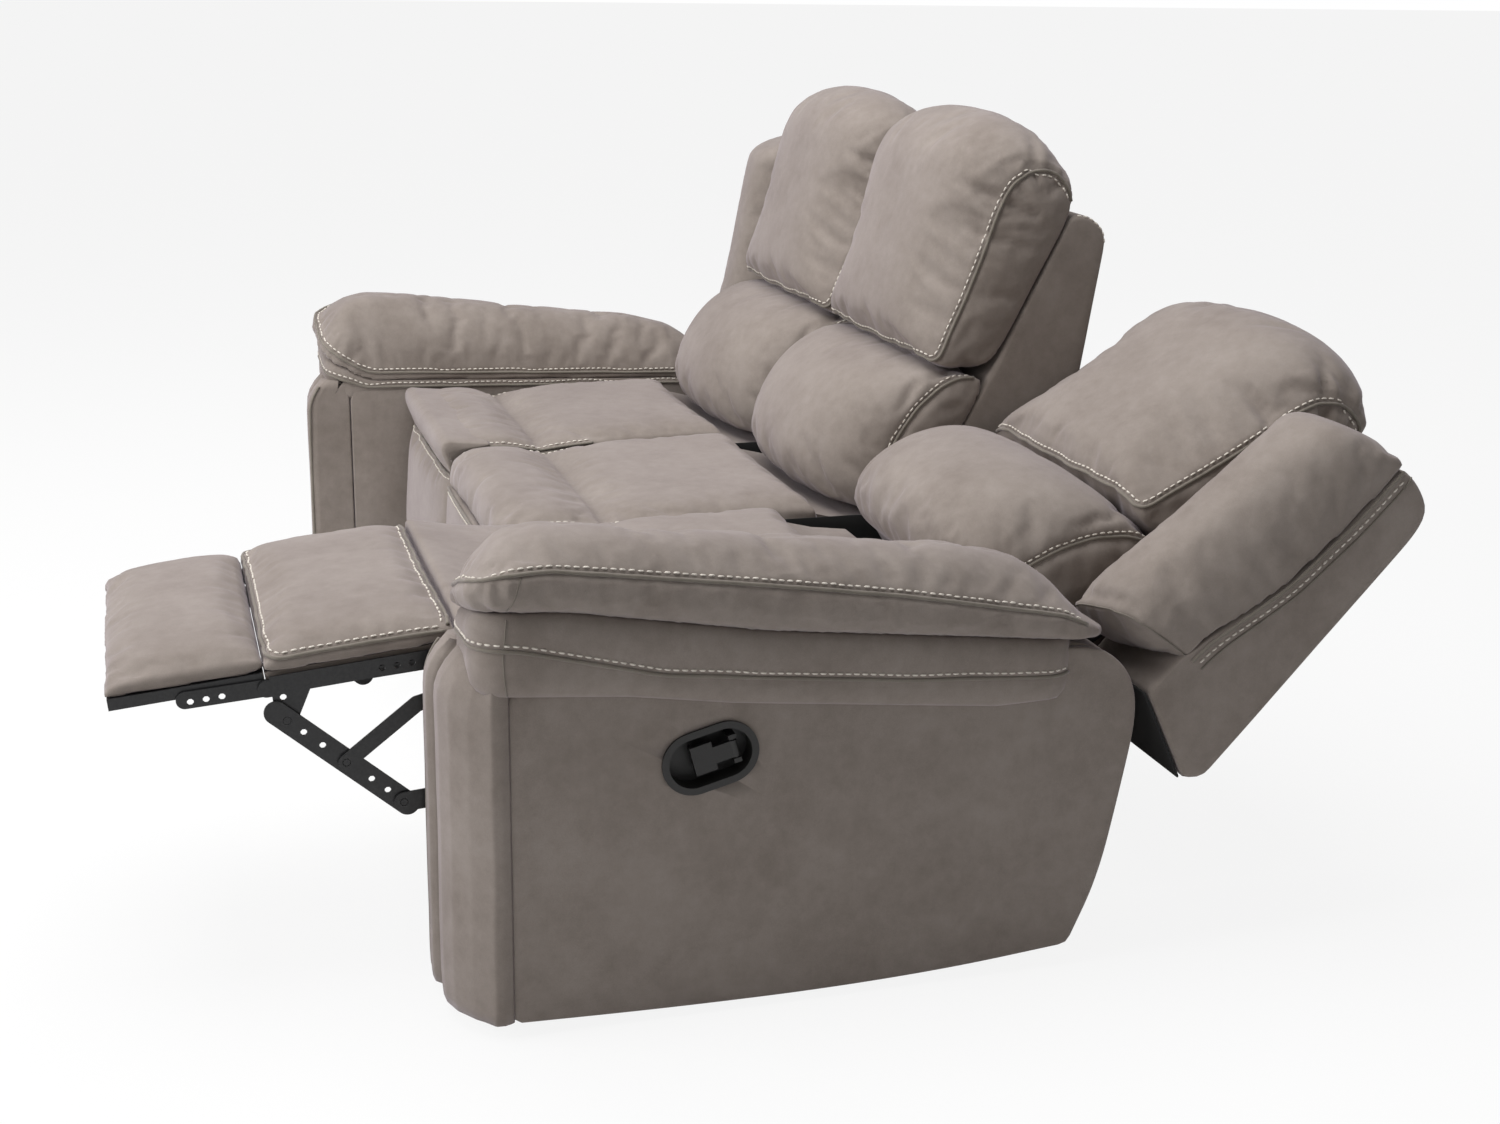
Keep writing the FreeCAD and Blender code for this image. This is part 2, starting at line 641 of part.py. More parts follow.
def make_arm(name, side):
    frame_width = z.arm_width - z.panel_thickness
    inner_start = span(side, arm_inner, z.panel_thickness)
    core_width = frame_width - z.panel_thickness
    core_start = span(side, arm_inner + z.panel_thickness, core_width)
    bottom = z.foot_height
    rear_post = z.arm_rear_low - z.post_width - 12
    outline = [
        (z.panel_front, bottom), (z.arm_rear_low, bottom),
        (z.arm_rear_mid, z.arm_rear_mid_height), (z.arm_rear_mid, z.seam_rear_height),
        (z.panel_front, z.seam_front_height)]

    inner_panel = profile_body(outline, inner_start, z.panel_thickness)
    front_post = profile_body(
        [(z.panel_front, bottom), (z.panel_front + z.post_width, bottom),
         (z.panel_front + z.post_width, along_seam(z.panel_front + z.post_width)),
         (z.panel_front, z.seam_front_height)], core_start, core_width)
    back_post = profile_body(
        [(rear_post, bottom), (rear_post + z.post_width, bottom),
         (rear_post + z.post_width, along_seam(rear_post + z.post_width)),
         (rear_post, along_seam(rear_post))], core_start, core_width)
    low_rail = box((core_start, z.panel_front + z.post_width, bottom),
                   (core_width, rear_post - z.panel_front - z.post_width, z.arm_rail_height))
    deck_front = z.panel_front + z.post_width
    deck = profile_body(
        [(deck_front, along_seam(deck_front) - z.deck_thickness),
         (rear_post, along_seam(rear_post) - z.deck_thickness),
         (rear_post, along_seam(rear_post)), (deck_front, along_seam(deck_front))],
        core_start, core_width)
    keep(name + "_arm_frame", group([inner_panel, front_post, back_post, low_rail, deck]))

    outer_panel = profile_body(outline, span(side, panel_inner, z.panel_thickness),
                               z.panel_thickness)
    opening = bars_body(
        [(handle_end(-1), handle_end(1), tray_half() + z.running_clearance)],
        span(side, panel_inner - 10, z.panel_thickness + 20), z.panel_thickness + 20)
    keep(name + "_arm_outer_panel", cut(outer_panel, opening))

    body = doc.addObject("PartDesign::Body", "Body")
    sketch = new_sketch(body, "XY_Plane", bottom)
    inner_x, outer_x = side * arm_inner, side * arm_outer
    nose_x = side * (arm_inner + z.front_panel_nose_inset)
    middle_x = side * (arm_inner + z.arm_width * 0.6)
    draw_polygon(sketch, [
        (inner_x, z.panel_front), (inner_x, z.front_panel_inner), (nose_x, z.front_panel_nose),
        (middle_x, z.front_panel_nose * 0.6), (outer_x, 4), (outer_x, z.panel_front)])
    body.Tip = add_pad(body, sketch, z.seam_front_height - bottom)
    keep(name + "_arm_front_panel", body)

    band_width = z.arm_width + z.band_overhang
    band = profile_body(
        [(z.pad_front, along_seam(z.pad_front)), (z.arm_rear_mid, z.seam_rear_height),
         (z.arm_shoulder_depth, z.fold_rear_height - 10),
         (z.arm_shoulder_depth, z.fold_rear_height), (z.pad_front, z.fold_front_height)],
        span(side, arm_inner, band_width), band_width, corners=[(1, 6)])
    keep(name + "_arm_band", band)

    pad_width = z.arm_width + z.pad_overhang + z.pad_inner_overhang
    pad = profile_body(
        [(z.pad_front, z.fold_front_height), (z.arm_shoulder_depth, z.fold_rear_height),
         (z.arm_shoulder_depth, z.pad_rear_height), (z.pad_front, z.pad_front_height)],
        span(side, arm_inner - z.pad_inner_overhang, pad_width), pad_width,
        corners=[(2, z.pad_rear_radius), (3, z.pad_front_radius)])
    keep(name + "_arm_top_pad", pad)


def tray_half():
    """Half width of the handle's tray, outside."""
    return z.handle_width / 2 - z.bezel_rim + z.bezel_wall


def handle_end(sign):
    """Centre of one round end of the handle's capsule, as (depth, height)."""
    reach = (z.handle_length - z.handle_width) / 2
    tilt_c = Dim(math.cos(math.radians(z.handle_tilt.value)), "cos(Sizes.handle_tilt * 1 deg)")
    tilt_s = Dim(math.sin(math.radians(z.handle_tilt.value)), "sin(Sizes.handle_tilt * 1 deg)")
    return (z.handle_depth + sign * reach * tilt_c, z.handle_height + sign * reach * tilt_s)


def handle_placement(side):
    """The handle is drawn with X outwards, Y along the capsule and Z across it."""
    tilt = FreeCAD.Rotation(FreeCAD.Vector(1, 0, 0), z.handle_tilt.value)
    if side < 0:
        tilt = tilt.multiply(FreeCAD.Rotation(FreeCAD.Vector(0, 1, 0), 180))
    base = FreeCAD.Vector(side * arm_outer.value, z.handle_depth.value, z.handle_height.value)
    return FreeCAD.Placement(base, tilt)


def make_bezel():
    """A capsule-shaped tray with a rim, its hinge ears and a finger scoop at the front end."""
    reach = (z.handle_length - z.handle_width) / 2
    ends = ((-reach, 0), (reach, 0))
    rim = bars_body([(ends[0], ends[1], z.handle_width / 2)], 0, z.bezel_proud)
    tray = bars_body([(ends[0], ends[1], tray_half())], -z.tray_depth, z.tray_depth)
    hollow = bars_body([(ends[0], ends[1], tray_half() - z.bezel_wall)],
                       -z.tray_depth + z.bezel_wall, z.tray_depth + z.bezel_proud)
    ear_length = z.lever_barrel + 5
    ears = []
    for low in (z.stem_half + z.lever_play, -z.stem_half - z.lever_play - z.lever_ear):
        ear = box((-z.tray_depth + z.bezel_wall / 2, z.lever_hinge - ear_length / 2, low),
                  (z.tray_depth - z.bezel_wall / 2, ear_length, z.lever_ear))
        eye = stud((-z.lever_thickness / 2 - 1, z.lever_hinge, low - 1), z.lever_ear + 2,
                   z.lever_pin + z.pin_clearance)
        ears.append(cut(ear, eye))
    shell = cut(fused([rim, tray]), hollow)
    return fused([shell] + ears)


def make_lever():
    """Paddle, stem and hinge barrel; it swings out about the barrel."""
    plate_start = -z.lever_thickness - 1
    paddle = box((plate_start, -z.lever_front, -z.paddle_half),
                 (z.lever_thickness, z.paddle_length, 2 * z.paddle_half))
    stem = box((plate_start, -z.lever_front + z.paddle_length, -z.stem_half),
               (z.lever_thickness, z.lever_hinge + z.lever_front - z.paddle_length,
                2 * z.stem_half))
    barrel = stud((-z.lever_thickness / 2 - 1, z.lever_hinge, -z.stem_half),
                  2 * z.stem_half, z.lever_barrel)
    reach = z.stem_half + z.lever_play + z.lever_ear
    pin = stud((-z.lever_thickness / 2 - 1, z.lever_hinge, -reach), 2 * reach, z.lever_pin)
    lip = box((plate_start - 5, -z.lever_front, -z.paddle_half), (6, 4, 2 * z.paddle_half))
    return fused([paddle, stem, barrel, pin, lip])


def make_handles():
    bezels = []
    for name, side in (("near", 1), ("far", -1)):
        bezel = make_bezel()
        bezel.Placement = handle_placement(side)
        bezels.append(bezel)
        lever = make_lever()
        keep(name + "_pull_lever", lever, handle_placement(side))
    keep("handle_bezels", group(bezels))


def track_floor(depth):
    """Underside of the sloping tracks; they lie on the front cross rail's top."""
    slope = z.slide_up / z.slide_forward
    top = z.rail_bottom + z.front_rail_height
    return top - slope * (dim(depth) - z.front_rail_depth)


def make_base():
    width = 2 * arm_inner
    front = profile_body(
        [(z.front_rail_depth, z.rail_bottom),
         (z.front_rail_depth + z.rail_thickness, z.rail_bottom),
         (z.front_rail_depth + z.rail_thickness,
          track_floor(z.front_rail_depth + z.rail_thickness)),
         (z.front_rail_depth, track_floor(z.front_rail_depth))], -arm_inner, width)
    rear = profile_body(
        [(z.rear_rail_depth, z.rail_bottom), (z.rear_rail_depth + z.rail_thickness, z.rail_bottom),
         (z.rear_rail_depth + z.rail_thickness, track_floor(z.rear_rail_depth + z.rail_thickness)),
         (z.rear_rail_depth, track_floor(z.rear_rail_depth))], -arm_inner, width)
    keep("cross_rails", group([front, rear]))

    tracks = []
    for side in (1, -1):
        for edge in (1, -1):
            start = side * seat_centre + edge * track_centre - z.track_width / 2
            tracks.append(make_track(start))
    keep("base_tracks", group(tracks))

    feet = []
    for side in (1, -1):
        centre = side * (arm_inner + z.arm_width / 2)
        for depth in (z.panel_front + z.foot_inset, z.arm_rear_low - z.foot_inset):
            feet.append(stud((centre, depth, 0), z.foot_height, z.foot_radius))
        for depth in (z.front_rail_depth, z.rear_rail_depth):
            leg = side * (half_seat - z.leg_inset) - z.leg_width / 2
            feet.append(box((leg, depth, 0), (z.leg_width, z.rail_thickness, z.rail_bottom)))
    keep("feet", group(feet))

    bolts = []
    for side in (1, -1):
        start = span(side, arm_inner + z.panel_thickness, z.bolt_head)
        for depth in (z.front_rail_depth, z.rear_rail_depth):
            middle = depth + z.rail_thickness / 2
            for rise in (18, z.bolt_spacing):
                bolts.append(pin_bar((start, middle, z.rail_bottom + rise), z.bolt_head,
                                     z.bolt_radius, sides=6))
    keep("frame_bolts", group(bolts))


def make_track(start):
    """U-shaped channel, open at the top, lying on the cross rails' sloping tops."""
    def layer(rise, first, width, thickness):
        return profile_body(
            [(z.track_front, track_floor(z.track_front) + rise),
             (z.track_rear, track_floor(z.track_rear) + rise),
             (z.track_rear, track_floor(z.track_rear) + rise + thickness),
             (z.track_front, track_floor(z.track_front) + rise + thickness)], first, width)

    floor = layer(0, start, z.track_width, z.track_wall)
    wall_height = z.track_depth
    left = layer(0, start, z.track_wall, wall_height)
    right = layer(0, start + z.track_width - z.track_wall, z.track_wall, wall_height)
    return fused([floor, left, right])


def zigzag(x_middle, front, rear, height):
    """One sinuous spring, a zigzag wire between the front and the rear board."""
    wire = z.spring_wire.value
    sway = z.spring_sway.value / 2
    lead = z.spring_wire.value * 1.5
    front, rear = front + z.seat_gap.value, rear - z.seat_gap.value
    turns = max(2, int(round((rear - front - 2 * lead) / z.spring_pitch.value)))
    step = (rear - front - 2 * lead) / turns
    path = [(x_middle, front), (x_middle, front + lead)]
    for index in range(turns):
        sign = 1 if index % 2 else -1
        y = front + lead + (index + 0.5) * step
        path.append((x_middle + sign * sway, y - step * 0.25))
        path.append((x_middle + sign * sway, y + step * 0.25))
    path.extend([(x_middle, rear - lead), (x_middle, rear)])
    left, right = [], []
    for index, (x, y) in enumerate(path):
        before = path[max(index - 1, 0)] if index > 1 else path[0]
        after = path[min(index + 1, len(path) - 1)] if index > 0 else path[1]
        dx, dy = after[0] - before[0], after[1] - before[1]
        size = math.hypot(dx, dy)
        nx, ny = -dy / size * wire / 2, dx / size * wire / 2
        left.append(FreeCAD.Vector(x + nx, y + ny, height))
        right.append(FreeCAD.Vector(x - nx, y - ny, height))
    outline = left + right[::-1]
    face = Part.Face(Part.makePolygon(outline + outline[:1]))
    return face.extrude(FreeCAD.Vector(0, 0, wire))


def make_springs(centre, front, rear):
    item = doc.addObject("Part::Feature", "Springs")
    height = z.frame_top.value - z.spring_wire.value
    spacing = z.spring_spacing.value
    item.Shape = Part.makeCompound(
        [zigzag(centre + (index - 1.5) * spacing, front, rear, height) for index in range(4)])
    return item


def frame_boards(centre, front, front_bottom, bottom_outline):
    """Side boards, front and rear board of a seat frame."""
    boards = []
    for edge in (1, -1):
        start = centre + edge * track_centre - z.board_thickness / 2
        boards.append(profile_body(bottom_outline, start, z.board_thickness))
    reach = track_centre + z.board_thickness / 2
    boards.append(box((centre - reach, front, front_bottom),
                      (2 * reach, z.board_thickness, z.front_board_top - front_bottom)))
    inner = track_centre - z.board_thickness / 2
    boards.append(box((centre - inner, z.frame_rear - z.board_thickness, z.rear_board_bottom),
                      (2 * inner, z.board_thickness, z.frame_top - z.rear_board_bottom)))
    return boards


def make_seat(name, side, state):
    """Carriage of a recliner: seat frame with runners, springs, cushion and side plates."""
    place = moved("carriage", state)
    centre = side * seat_centre
    side_front = z.frame_front + z.board_thickness
    boards = frame_boards(centre, z.frame_front, z.front_board_bottom, [
        (side_front, z.frame_bottom), (z.frame_rear, z.frame_bottom),
        (z.frame_rear, z.frame_top), (side_front, z.frame_top)])
    rise = z.track_wall + z.running_clearance
    for edge in (1, -1):
        runner_width = z.track_width - 2 * z.track_wall - 2 * z.running_clearance
        start = centre + edge * track_centre - runner_width / 2
        boards.append(profile_body(
            [(z.runner_front, track_floor(z.runner_front) + rise),
             (z.runner_rear, track_floor(z.runner_rear) + rise),
             (z.runner_rear, z.frame_bottom), (z.runner_front, z.frame_bottom)],
            start, runner_width))
    keep(name + "_seat_frame", group(boards), place)
    springs = make_springs(centre.value, side_front.value,
                           (z.frame_rear - z.board_thickness).value)
    keep(name + "_seat_springs", springs, place)

    nose_floor = z.seam_height + z.nose_clearance
    board_floor = z.front_board_top + z.seat_gap
    deck = z.frame_top + z.seat_gap
    step = z.seam_front + z.ottoman_crown + z.footrest_clearance
    cushion = profile_body(
        [(z.cushion_front, nose_floor), (z.cushion_front, z.cushion_top),
         (z.cushion_rear, z.cushion_top + 2), (z.cushion_rear, deck),
         (side_front + z.seat_gap, deck), (side_front + z.seat_gap, board_floor),
         (step, board_floor), (step, nose_floor)],
        centre - cushion_half, 2 * cushion_half, corners=[(1, z.cushion_nose_radius)])
    keep(name + "_seat_cushion", cushion, place)
    make_chaise(name, side, state, place)

    def plate(start):
        inward = dim(start).value < side * seat_centre.value
        reach = 3 * z.plane_pitch
        pin_start = start + z.plate if inward else start - z.plane_pitch
        pins = []
        for pivot in (rear_pivot, guide_pivot, back_pivot):
            pins.append(pin_bar((pin_start, pivot[0], pivot[1]), z.plane_pitch,
                                z.pin_radius - z.pin_clearance))
        edge = z.link_width / 2
        sheet_metal = profile_body(
            [(guide_pivot[0] - edge, guide_pivot[1]), (guide_pivot[0], guide_pivot[1] - edge),
             (rear_pivot[0] - edge, rear_pivot[1] - edge),
             (spacer_depths[0], spacer_height - edge),
             (spacer_depths[1], spacer_height - edge), (back_pivot[0] + edge, back_pivot[1]),
             (back_pivot[0], back_pivot[1] + edge), (rear_pivot[0] + edge, rear_pivot[1] + edge),
             (guide_pivot[0] + edge, guide_pivot[1] + edge),
             (guide_pivot[0], guide_pivot[1] + edge)], start, z.plate)
        spacer_start = start + z.plate if inward else start - spacer_length
        spacers = [pin_bar((spacer_start, depth, spacer_height), spacer_length,
                           z.spacer_radius, sides=6) for depth in spacer_depths]
        return fused([sheet_metal] + pins + spacers)

    spacer_length = (first_plane + 4 * z.plane_pitch - 0.5
                     - track_centre - z.board_thickness / 2)
    spacer_height = (z.frame_bottom + z.frame_top) / 2
    spacer_depths = (rear_pivot[0] + z.spacer_front, z.frame_rear - z.spacer_rear)
    plates = [plate(plate_start(side, outer)) for outer in (True, False)]
    keep(name + "_side_plates", group(plates), place)


def plate_start(side, outer):
    """Start along X of a recliner's side plate."""
    inset = first_plane + 4 * z.plane_pitch - 0.5
    if (side > 0) == outer:
        return side * seat_centre + inset
    return side * seat_centre - inset - z.plate


def make_chaise(name, side, state, place):
    """Soft bridge between the footrest's seam and the cushion: flat when open, tucked when shut."""
    if state == OPEN:
        outline = [
            open_place(-z.seat_gap, 4), open_place(-z.seat_gap, z.ottoman_crown - 3),
            (z.cushion_front - z.seat_gap, z.cushion_top - 2),
            (z.cushion_front - z.seat_gap, z.cushion_top - 46)]
    else:
        outline = [
            (closed_seam[0] + 2, closed_seam[1] + z.nose_clearance),
            (closed_seam[0] + 2, closed_seam[1] + 24),
            (z.cushion_front - z.seat_gap, z.cushion_top - 14),
            (z.cushion_front - z.seat_gap, closed_seam[1] + z.nose_clearance)]
    pad = profile_body(outline, side * seat_centre - cushion_half, 2 * cushion_half)
    keep(name + "_chaise_pad", pad, place)


def footrest_outline(first, last, low, high):
    return [open_place(first, low), open_place(last, low),
            open_place(last, high), open_place(first, high)]


def make_footrest(name, side, state):
    centre = side * seat_centre
    place = moved("footrest", state)
    board_half = first_plane - z.running_clearance
    board = profile_body(footrest_outline(0, z.ottoman_length, 0, z.board_strip),
                         centre - board_half, 2 * board_half)
    keep(name + "_ottoman_board", board, place)
    pad = profile_body(
        footrest_outline(0, z.ottoman_length, z.board_strip, z.ottoman_crown),
        centre - ottoman_half, 2 * ottoman_half,
        corners=[(2, z.pad_corner)])
    keep(name + "_ottoman_pad", pad, place)

    hole = z.pin_radius
    flip_hinge_inner = open_place(z.toggle_run - 10, -z.flip_hinge_drop)

    def bracket(start):
        outward = (dim(start).value > side * seat_centre.value)
        strap = z.link_width / 2
        low = -z.toggle_drop - strap
        shape = bars_body(
            [(flip_hinge, flip_hinge_inner, strap - 2)], start, z.plate,
            extra=[open_place(4, -strap), open_place(z.toggle_run - 2.6 * strap, -strap),
                   open_place(z.toggle_run - 0.6 * strap, low),
                   open_place(z.toggle_run + 0.6 * strap, low),
                   open_place(z.toggle_run + strap, low + 0.5 * strap),
                   open_place(z.toggle_run + strap, z.board_strip - 4),
                   open_place(4, z.board_strip - 4)],
            holes=[(open_place(z.main_hole_start + index * z.hole_pitch, -2), z.hole_radius)
                   for index in range(3)] + [(open_place(z.toggle_run, -18), z.hole_radius)])
        pin_start = start + z.plate if outward else start - z.plane_pitch
        pin = rod((pin_start, toggle[0], toggle[1]), z.plane_pitch, hole - z.pin_clearance)
        flange_width = z.bracket_flange + z.plane_pitch
        flange_start = start - flange_width if outward else start + z.plate
        flange = profile_body(
            footrest_outline(z.flange_front, z.flange_front + z.flange_length,
                             -z.seat_gap - z.plate, -z.seat_gap), flange_start, flange_width)
        hinge_start = start - z.plane_pitch if outward else start + z.plate
        hinge = pin_bar((hinge_start, flip_hinge[0], flip_hinge[1]), z.plane_pitch,
                        hole - z.pin_clearance)
        return fused([shape, flange, pin, hinge])

    keep(name + "_ottoman_brackets", group(both_sides(side, 1, bracket)), place)

    flip_place = moved("flip", state)
    first = z.ottoman_length + z.flip_gap
    last = first + z.flip_length
    flip_board = profile_body(footrest_outline(first, last, 0, z.board_strip),
                              centre - flip_half, 2 * flip_half)

    def flip_bracket(start):
        drop = z.link_width / 2
        return bars_body(
            [(flip_hinge, open_place(first + z.flip_bracket_length, -2), drop - 2)],
            start, z.plate,
            holes=[(flip_hinge, hole)]
            + [(open_place(first + z.flip_hole_start + index * z.hole_pitch, -5), z.hole_radius)
               for index in range(3)])

    keep(name + "_flip_board",
         group([flip_board] + both_sides(side, 0, flip_bracket)), flip_place)
    flip_pad = profile_body(footrest_outline(first, last, z.board_strip, z.flip_crown),
                            centre - flip_half, 2 * flip_half,
                            corners=[(2, z.pad_corner * 1.6), (3, z.pad_corner * 0.6)])
    keep(name + "_flip_pad", flip_pad, flip_place)


def make_links(name, side, state):
    half = z.link_width / 2
    hole = z.pin_radius

    def rear(start):
        elbow = (rear_pivot[0] - z.rear_elbow_y, rear_pivot[1] - z.rear_elbow_z)
        return bars_body([(rear_pivot, elbow, half), (elbow, knee, half)], start, z.plate,
                         holes=[(rear_pivot, hole), (knee, hole)])

    tube_start = side * seat_centre - first_plane - 3 * z.plane_pitch
    tube_depth = (rear_pivot[0] - z.rear_elbow_y, rear_pivot[1] - z.rear_elbow_z)
    tube = rod((tube_start, tube_depth[0], tube_depth[1]),
               2 * (first_plane + 3 * z.plane_pitch), z.torque_tube_radius)
    keep(name + "_rear_links", group(both_sides(side, 3, rear) + [tube]),
         moved("rear_link", state))

    def guide(start):
        elbow = (guide_pivot[0] - z.guide_elbow_y, guide_pivot[1] - z.guide_elbow_z)
        return bars_body([(guide_pivot, elbow, half * 0.8), (elbow, guide_low, half * 0.8)],
                         start, z.plate, holes=[(guide_pivot, hole), (guide_low, hole)])

    keep(name + "_guide_links", group(both_sides(side, 3, guide)), moved("guide_link", state))

    def long_link(start):
        outward = (dim(start).value > side * seat_centre.value)
        reach = z.long_link_width / 2
        share_y = z.link_offset_y / (z.link_offset_y + z.link_offset_z)
        share_z = z.link_offset_z / (z.link_offset_y + z.link_offset_z)
        tail = z.long_link_tail
        top = (toggle[0] - tail * share_y, toggle[1] + tail * share_z)
        low = (knee[0] + tail * 0.4 * share_y, knee[1] - tail * 0.4 * share_z)
        spots = [(0.14, z.hole_radius), (0.3, z.hole_radius), (0.72, z.hole_radius),
                 (0.86, z.hole_radius)]
        holes = [((toggle[0] + z.link_offset_y * share, toggle[1] - z.link_offset_z * share),
                  radius) for share, radius in spots]
        shape = bars_body([(top, low, reach)], start, z.plate, holes=[(toggle, hole)] + holes)
        pin_start = start + z.plate if outward else start - z.plane_pitch
        pins = [pin_bar((pin_start, point[0], point[1]), z.plane_pitch, hole - z.pin_clearance)
                for point in (knee, guide_low)]
        return fused([shape] + pins)

    keep(name + "_long_links", group(both_sides(side, 2, long_link)), moved("long_link", state))


SHELL_OUTLINE = [
    (z.shell_front_low_y, z.shell_front_low_z), (z.shell_front_top_y, z.shell_front_top_z),
    (z.shell_front_top_y + 26, z.shell_front_top_z), (z.shell_rear_top_y, z.shell_rear_top_z),
    (z.shell_rear_low_y, z.shell_rear_low_z), (z.shell_rear_low_y - 22, z.shell_front_low_z)]


def front_line(height):
    """Depth of the back of the cushions at a height, just before the shell."""
    slope = ((z.shell_front_top_y - z.shell_front_low_y)
             / (z.shell_front_top_z - z.shell_front_low_z))
    return z.shell_front_low_y + slope * (dim(height) - z.shell_front_low_z) - z.seat_gap * 1.2


def make_cushions(name, centre, place):
    """The two cushions of a back."""
    start, width = centre - back_half, 2 * back_half
    lumbar = profile_body(
        [(z.lumbar_front + 44, z.lumbar_foot), (z.lumbar_front, z.lumbar_foot + 26),
         (z.lumbar_belly_y, z.lumbar_belly_z), (z.lumbar_top_y, z.lumbar_top_z),
         (front_line(z.lumbar_top_z - 20) - 12, z.lumbar_top_z),
         (front_line(z.lumbar_top_z - 20), z.lumbar_top_z - 20),
         (front_line(z.lumbar_foot), z.lumbar_foot)],
        start, width, corners=[(1, 20), (2, z.lumbar_radius * 3), (3, z.lumbar_radius)])
    keep(name + "_lumbar_cushion", lumbar, place)
    upper = profile_body(
        [(z.upper_foot_y, z.upper_foot_z), (z.upper_front_y, z.upper_front_z),
         (z.upper_top_front_y, z.upper_top_z), (z.upper_top_rear_y, z.upper_rear_z),
         (z.upper_top_rear_y, z.shell_front_top_z + 2),
         (front_line(z.shell_front_top_z), z.shell_front_top_z),
         (front_line(z.upper_foot_z), z.upper_foot_z)],
        start, width,
        corners=[(1, z.upper_foot_radius), (2, z.upper_front_radius), (3, z.upper_rear_radius)])
    keep(name + "_upper_cushion", upper, place)


def make_back(name, side, state):
    place = moved("back", state)
    centre = side * seat_centre
    shell_half = first_plane + 3 * z.plane_pitch
    make_cushions(name, centre, place)
    main = profile_body(SHELL_OUTLINE, centre - shell_half, 2 * shell_half,
                        corners=[(3, z.shell_corner_radius)])
    neck_start = seat_centre + shell_half
    neck_foot = z.bracket_top_z + z.link_width
    neck = profile_body(
        [(front_line(neck_foot) + z.seat_gap * 1.2, neck_foot),
         (z.shell_front_top_y, z.shell_front_top_z),
         (z.shell_front_top_y, neck_foot)],
        span(side, neck_start, arm_inner - neck_start), arm_inner - neck_start)
    wing_start = arm_inner
    wing_width = arm_outer + z.wing_outer - wing_start
    flange_low = (z.wing_foot_y, z.flange_low_z)
    wing = profile_body(
        [(z.wing_foot_y, z.wing_foot_z), (z.wing_rear_foot_y, z.wing_rear_foot_z),
         (z.wing_rear_foot_y + 22, z.wing_rear_foot_z + 18), (z.wing_rear_top_y, z.wing_top_z),
         (z.flange_top_y, z.wing_top_z + 14), (z.flange_mid_y, z.flange_mid_z), flange_low],
        span(side, wing_start, wing_width), wing_width, corners=[(3, 30)])
    keep(name + "_back_shell", fused([main, neck, wing]), place)

    gap = z.seat_gap * 1.2
    roll_width = arm_outer + z.roll_overhang - arm_inner
    roll = profile_body(
        [(z.roll_foot_y, z.roll_foot_z), (z.wing_foot_y - gap, z.roll_foot_z),
         (z.wing_foot_y - gap, z.flange_low_z), (z.flange_mid_y - gap, z.flange_mid_z),
         (z.flange_top_y - gap, z.wing_top_z + 14), (z.flange_top_y - 20, z.roll_top_z),
         (z.roll_top_y, z.roll_top_z)],
        span(side, arm_inner, roll_width), roll_width,
        corners=[(0, z.roll_radius), (6, z.roll_radius * 1.5)])
    keep(name + "_wing_bolster", roll, place)

    def bracket(start):
        half = z.link_width * 0.6
        elbow = (z.bracket_elbow_y, z.bracket_elbow_z)
        top = (front_line(z.bracket_top_z) + z.bracket_seat, z.bracket_top_z)
        return bars_body([(back_pivot, elbow, half), (elbow, top, half)], start, z.plate,
                         holes=[(back_pivot, z.pin_radius)])

    keep(name + "_back_brackets", group(both_sides(side, 3, bracket)), place)


def make_middle():
    half = half_seat - z.middle_gap
    post_top = z.shell_front_low_z - z.seat_gap
    boards = frame_boards(dim(0), z.cushion_front + 6, z.middle_board_bottom, [
        (z.cushion_front + 6 + z.board_thickness, track_floor(z.front_rail_depth)),
        (z.rear_rail_depth + z.rail_thickness, track_floor(z.front_rail_depth)),
        (z.rear_rail_depth + z.rail_thickness, z.frame_top),
        (z.cushion_front + 6 + z.board_thickness, z.frame_top)])
    for edge in (1, -1):
        low = track_floor(z.rear_rail_depth)
        boards.append(box((edge * track_centre - z.board_thickness / 2, z.rear_rail_depth, low),
                          (z.board_thickness, z.block_length,
                           track_floor(z.front_rail_depth) - low)))
        boards.append(box((edge * track_centre - z.board_thickness / 2,
                           z.rear_rail_depth + z.rail_thickness, z.post_bottom),
                          (z.board_thickness, z.post_depth, post_top - z.post_bottom)))
    keep("middle_seat_frame", group(boards))
    springs = make_springs(0.0, (z.cushion_front + 6 + z.board_thickness).value,
                           (z.frame_rear - z.board_thickness).value)
    keep("middle_seat_springs", springs)
    inner_edge = z.cushion_front + 6 + z.board_thickness + z.seat_gap
    board_floor = z.front_board_top + z.seat_gap
    deck = z.frame_top + z.seat_gap
    cushion = profile_body(
        [(z.seam_front + 4, board_floor), (z.seam_front + 4, z.cushion_top),
         (z.cushion_rear, z.cushion_top + 2), (z.cushion_rear, deck),
         (inner_edge, deck), (inner_edge, board_floor)],
        -half, 2 * half, corners=[(1, z.cushion_nose_radius)])
    keep("middle_seat_cushion", cushion)
    panel = profile_body(
        [(z.seam_front - 8, z.middle_front_bottom), (z.cushion_front + 6, z.middle_front_bottom),
         (z.cushion_front + 6, z.front_board_top), (z.seam_front, z.front_board_top)],
        -half, 2 * half)
    keep("middle_front_panel", panel)
    shell_half = half - 4
    shell = profile_body(SHELL_OUTLINE, -shell_half, 2 * shell_half,
                         corners=[(3, z.shell_corner_radius)])
    keep("middle_back_shell", shell)
    make_cushions("middle", dim(0), None)


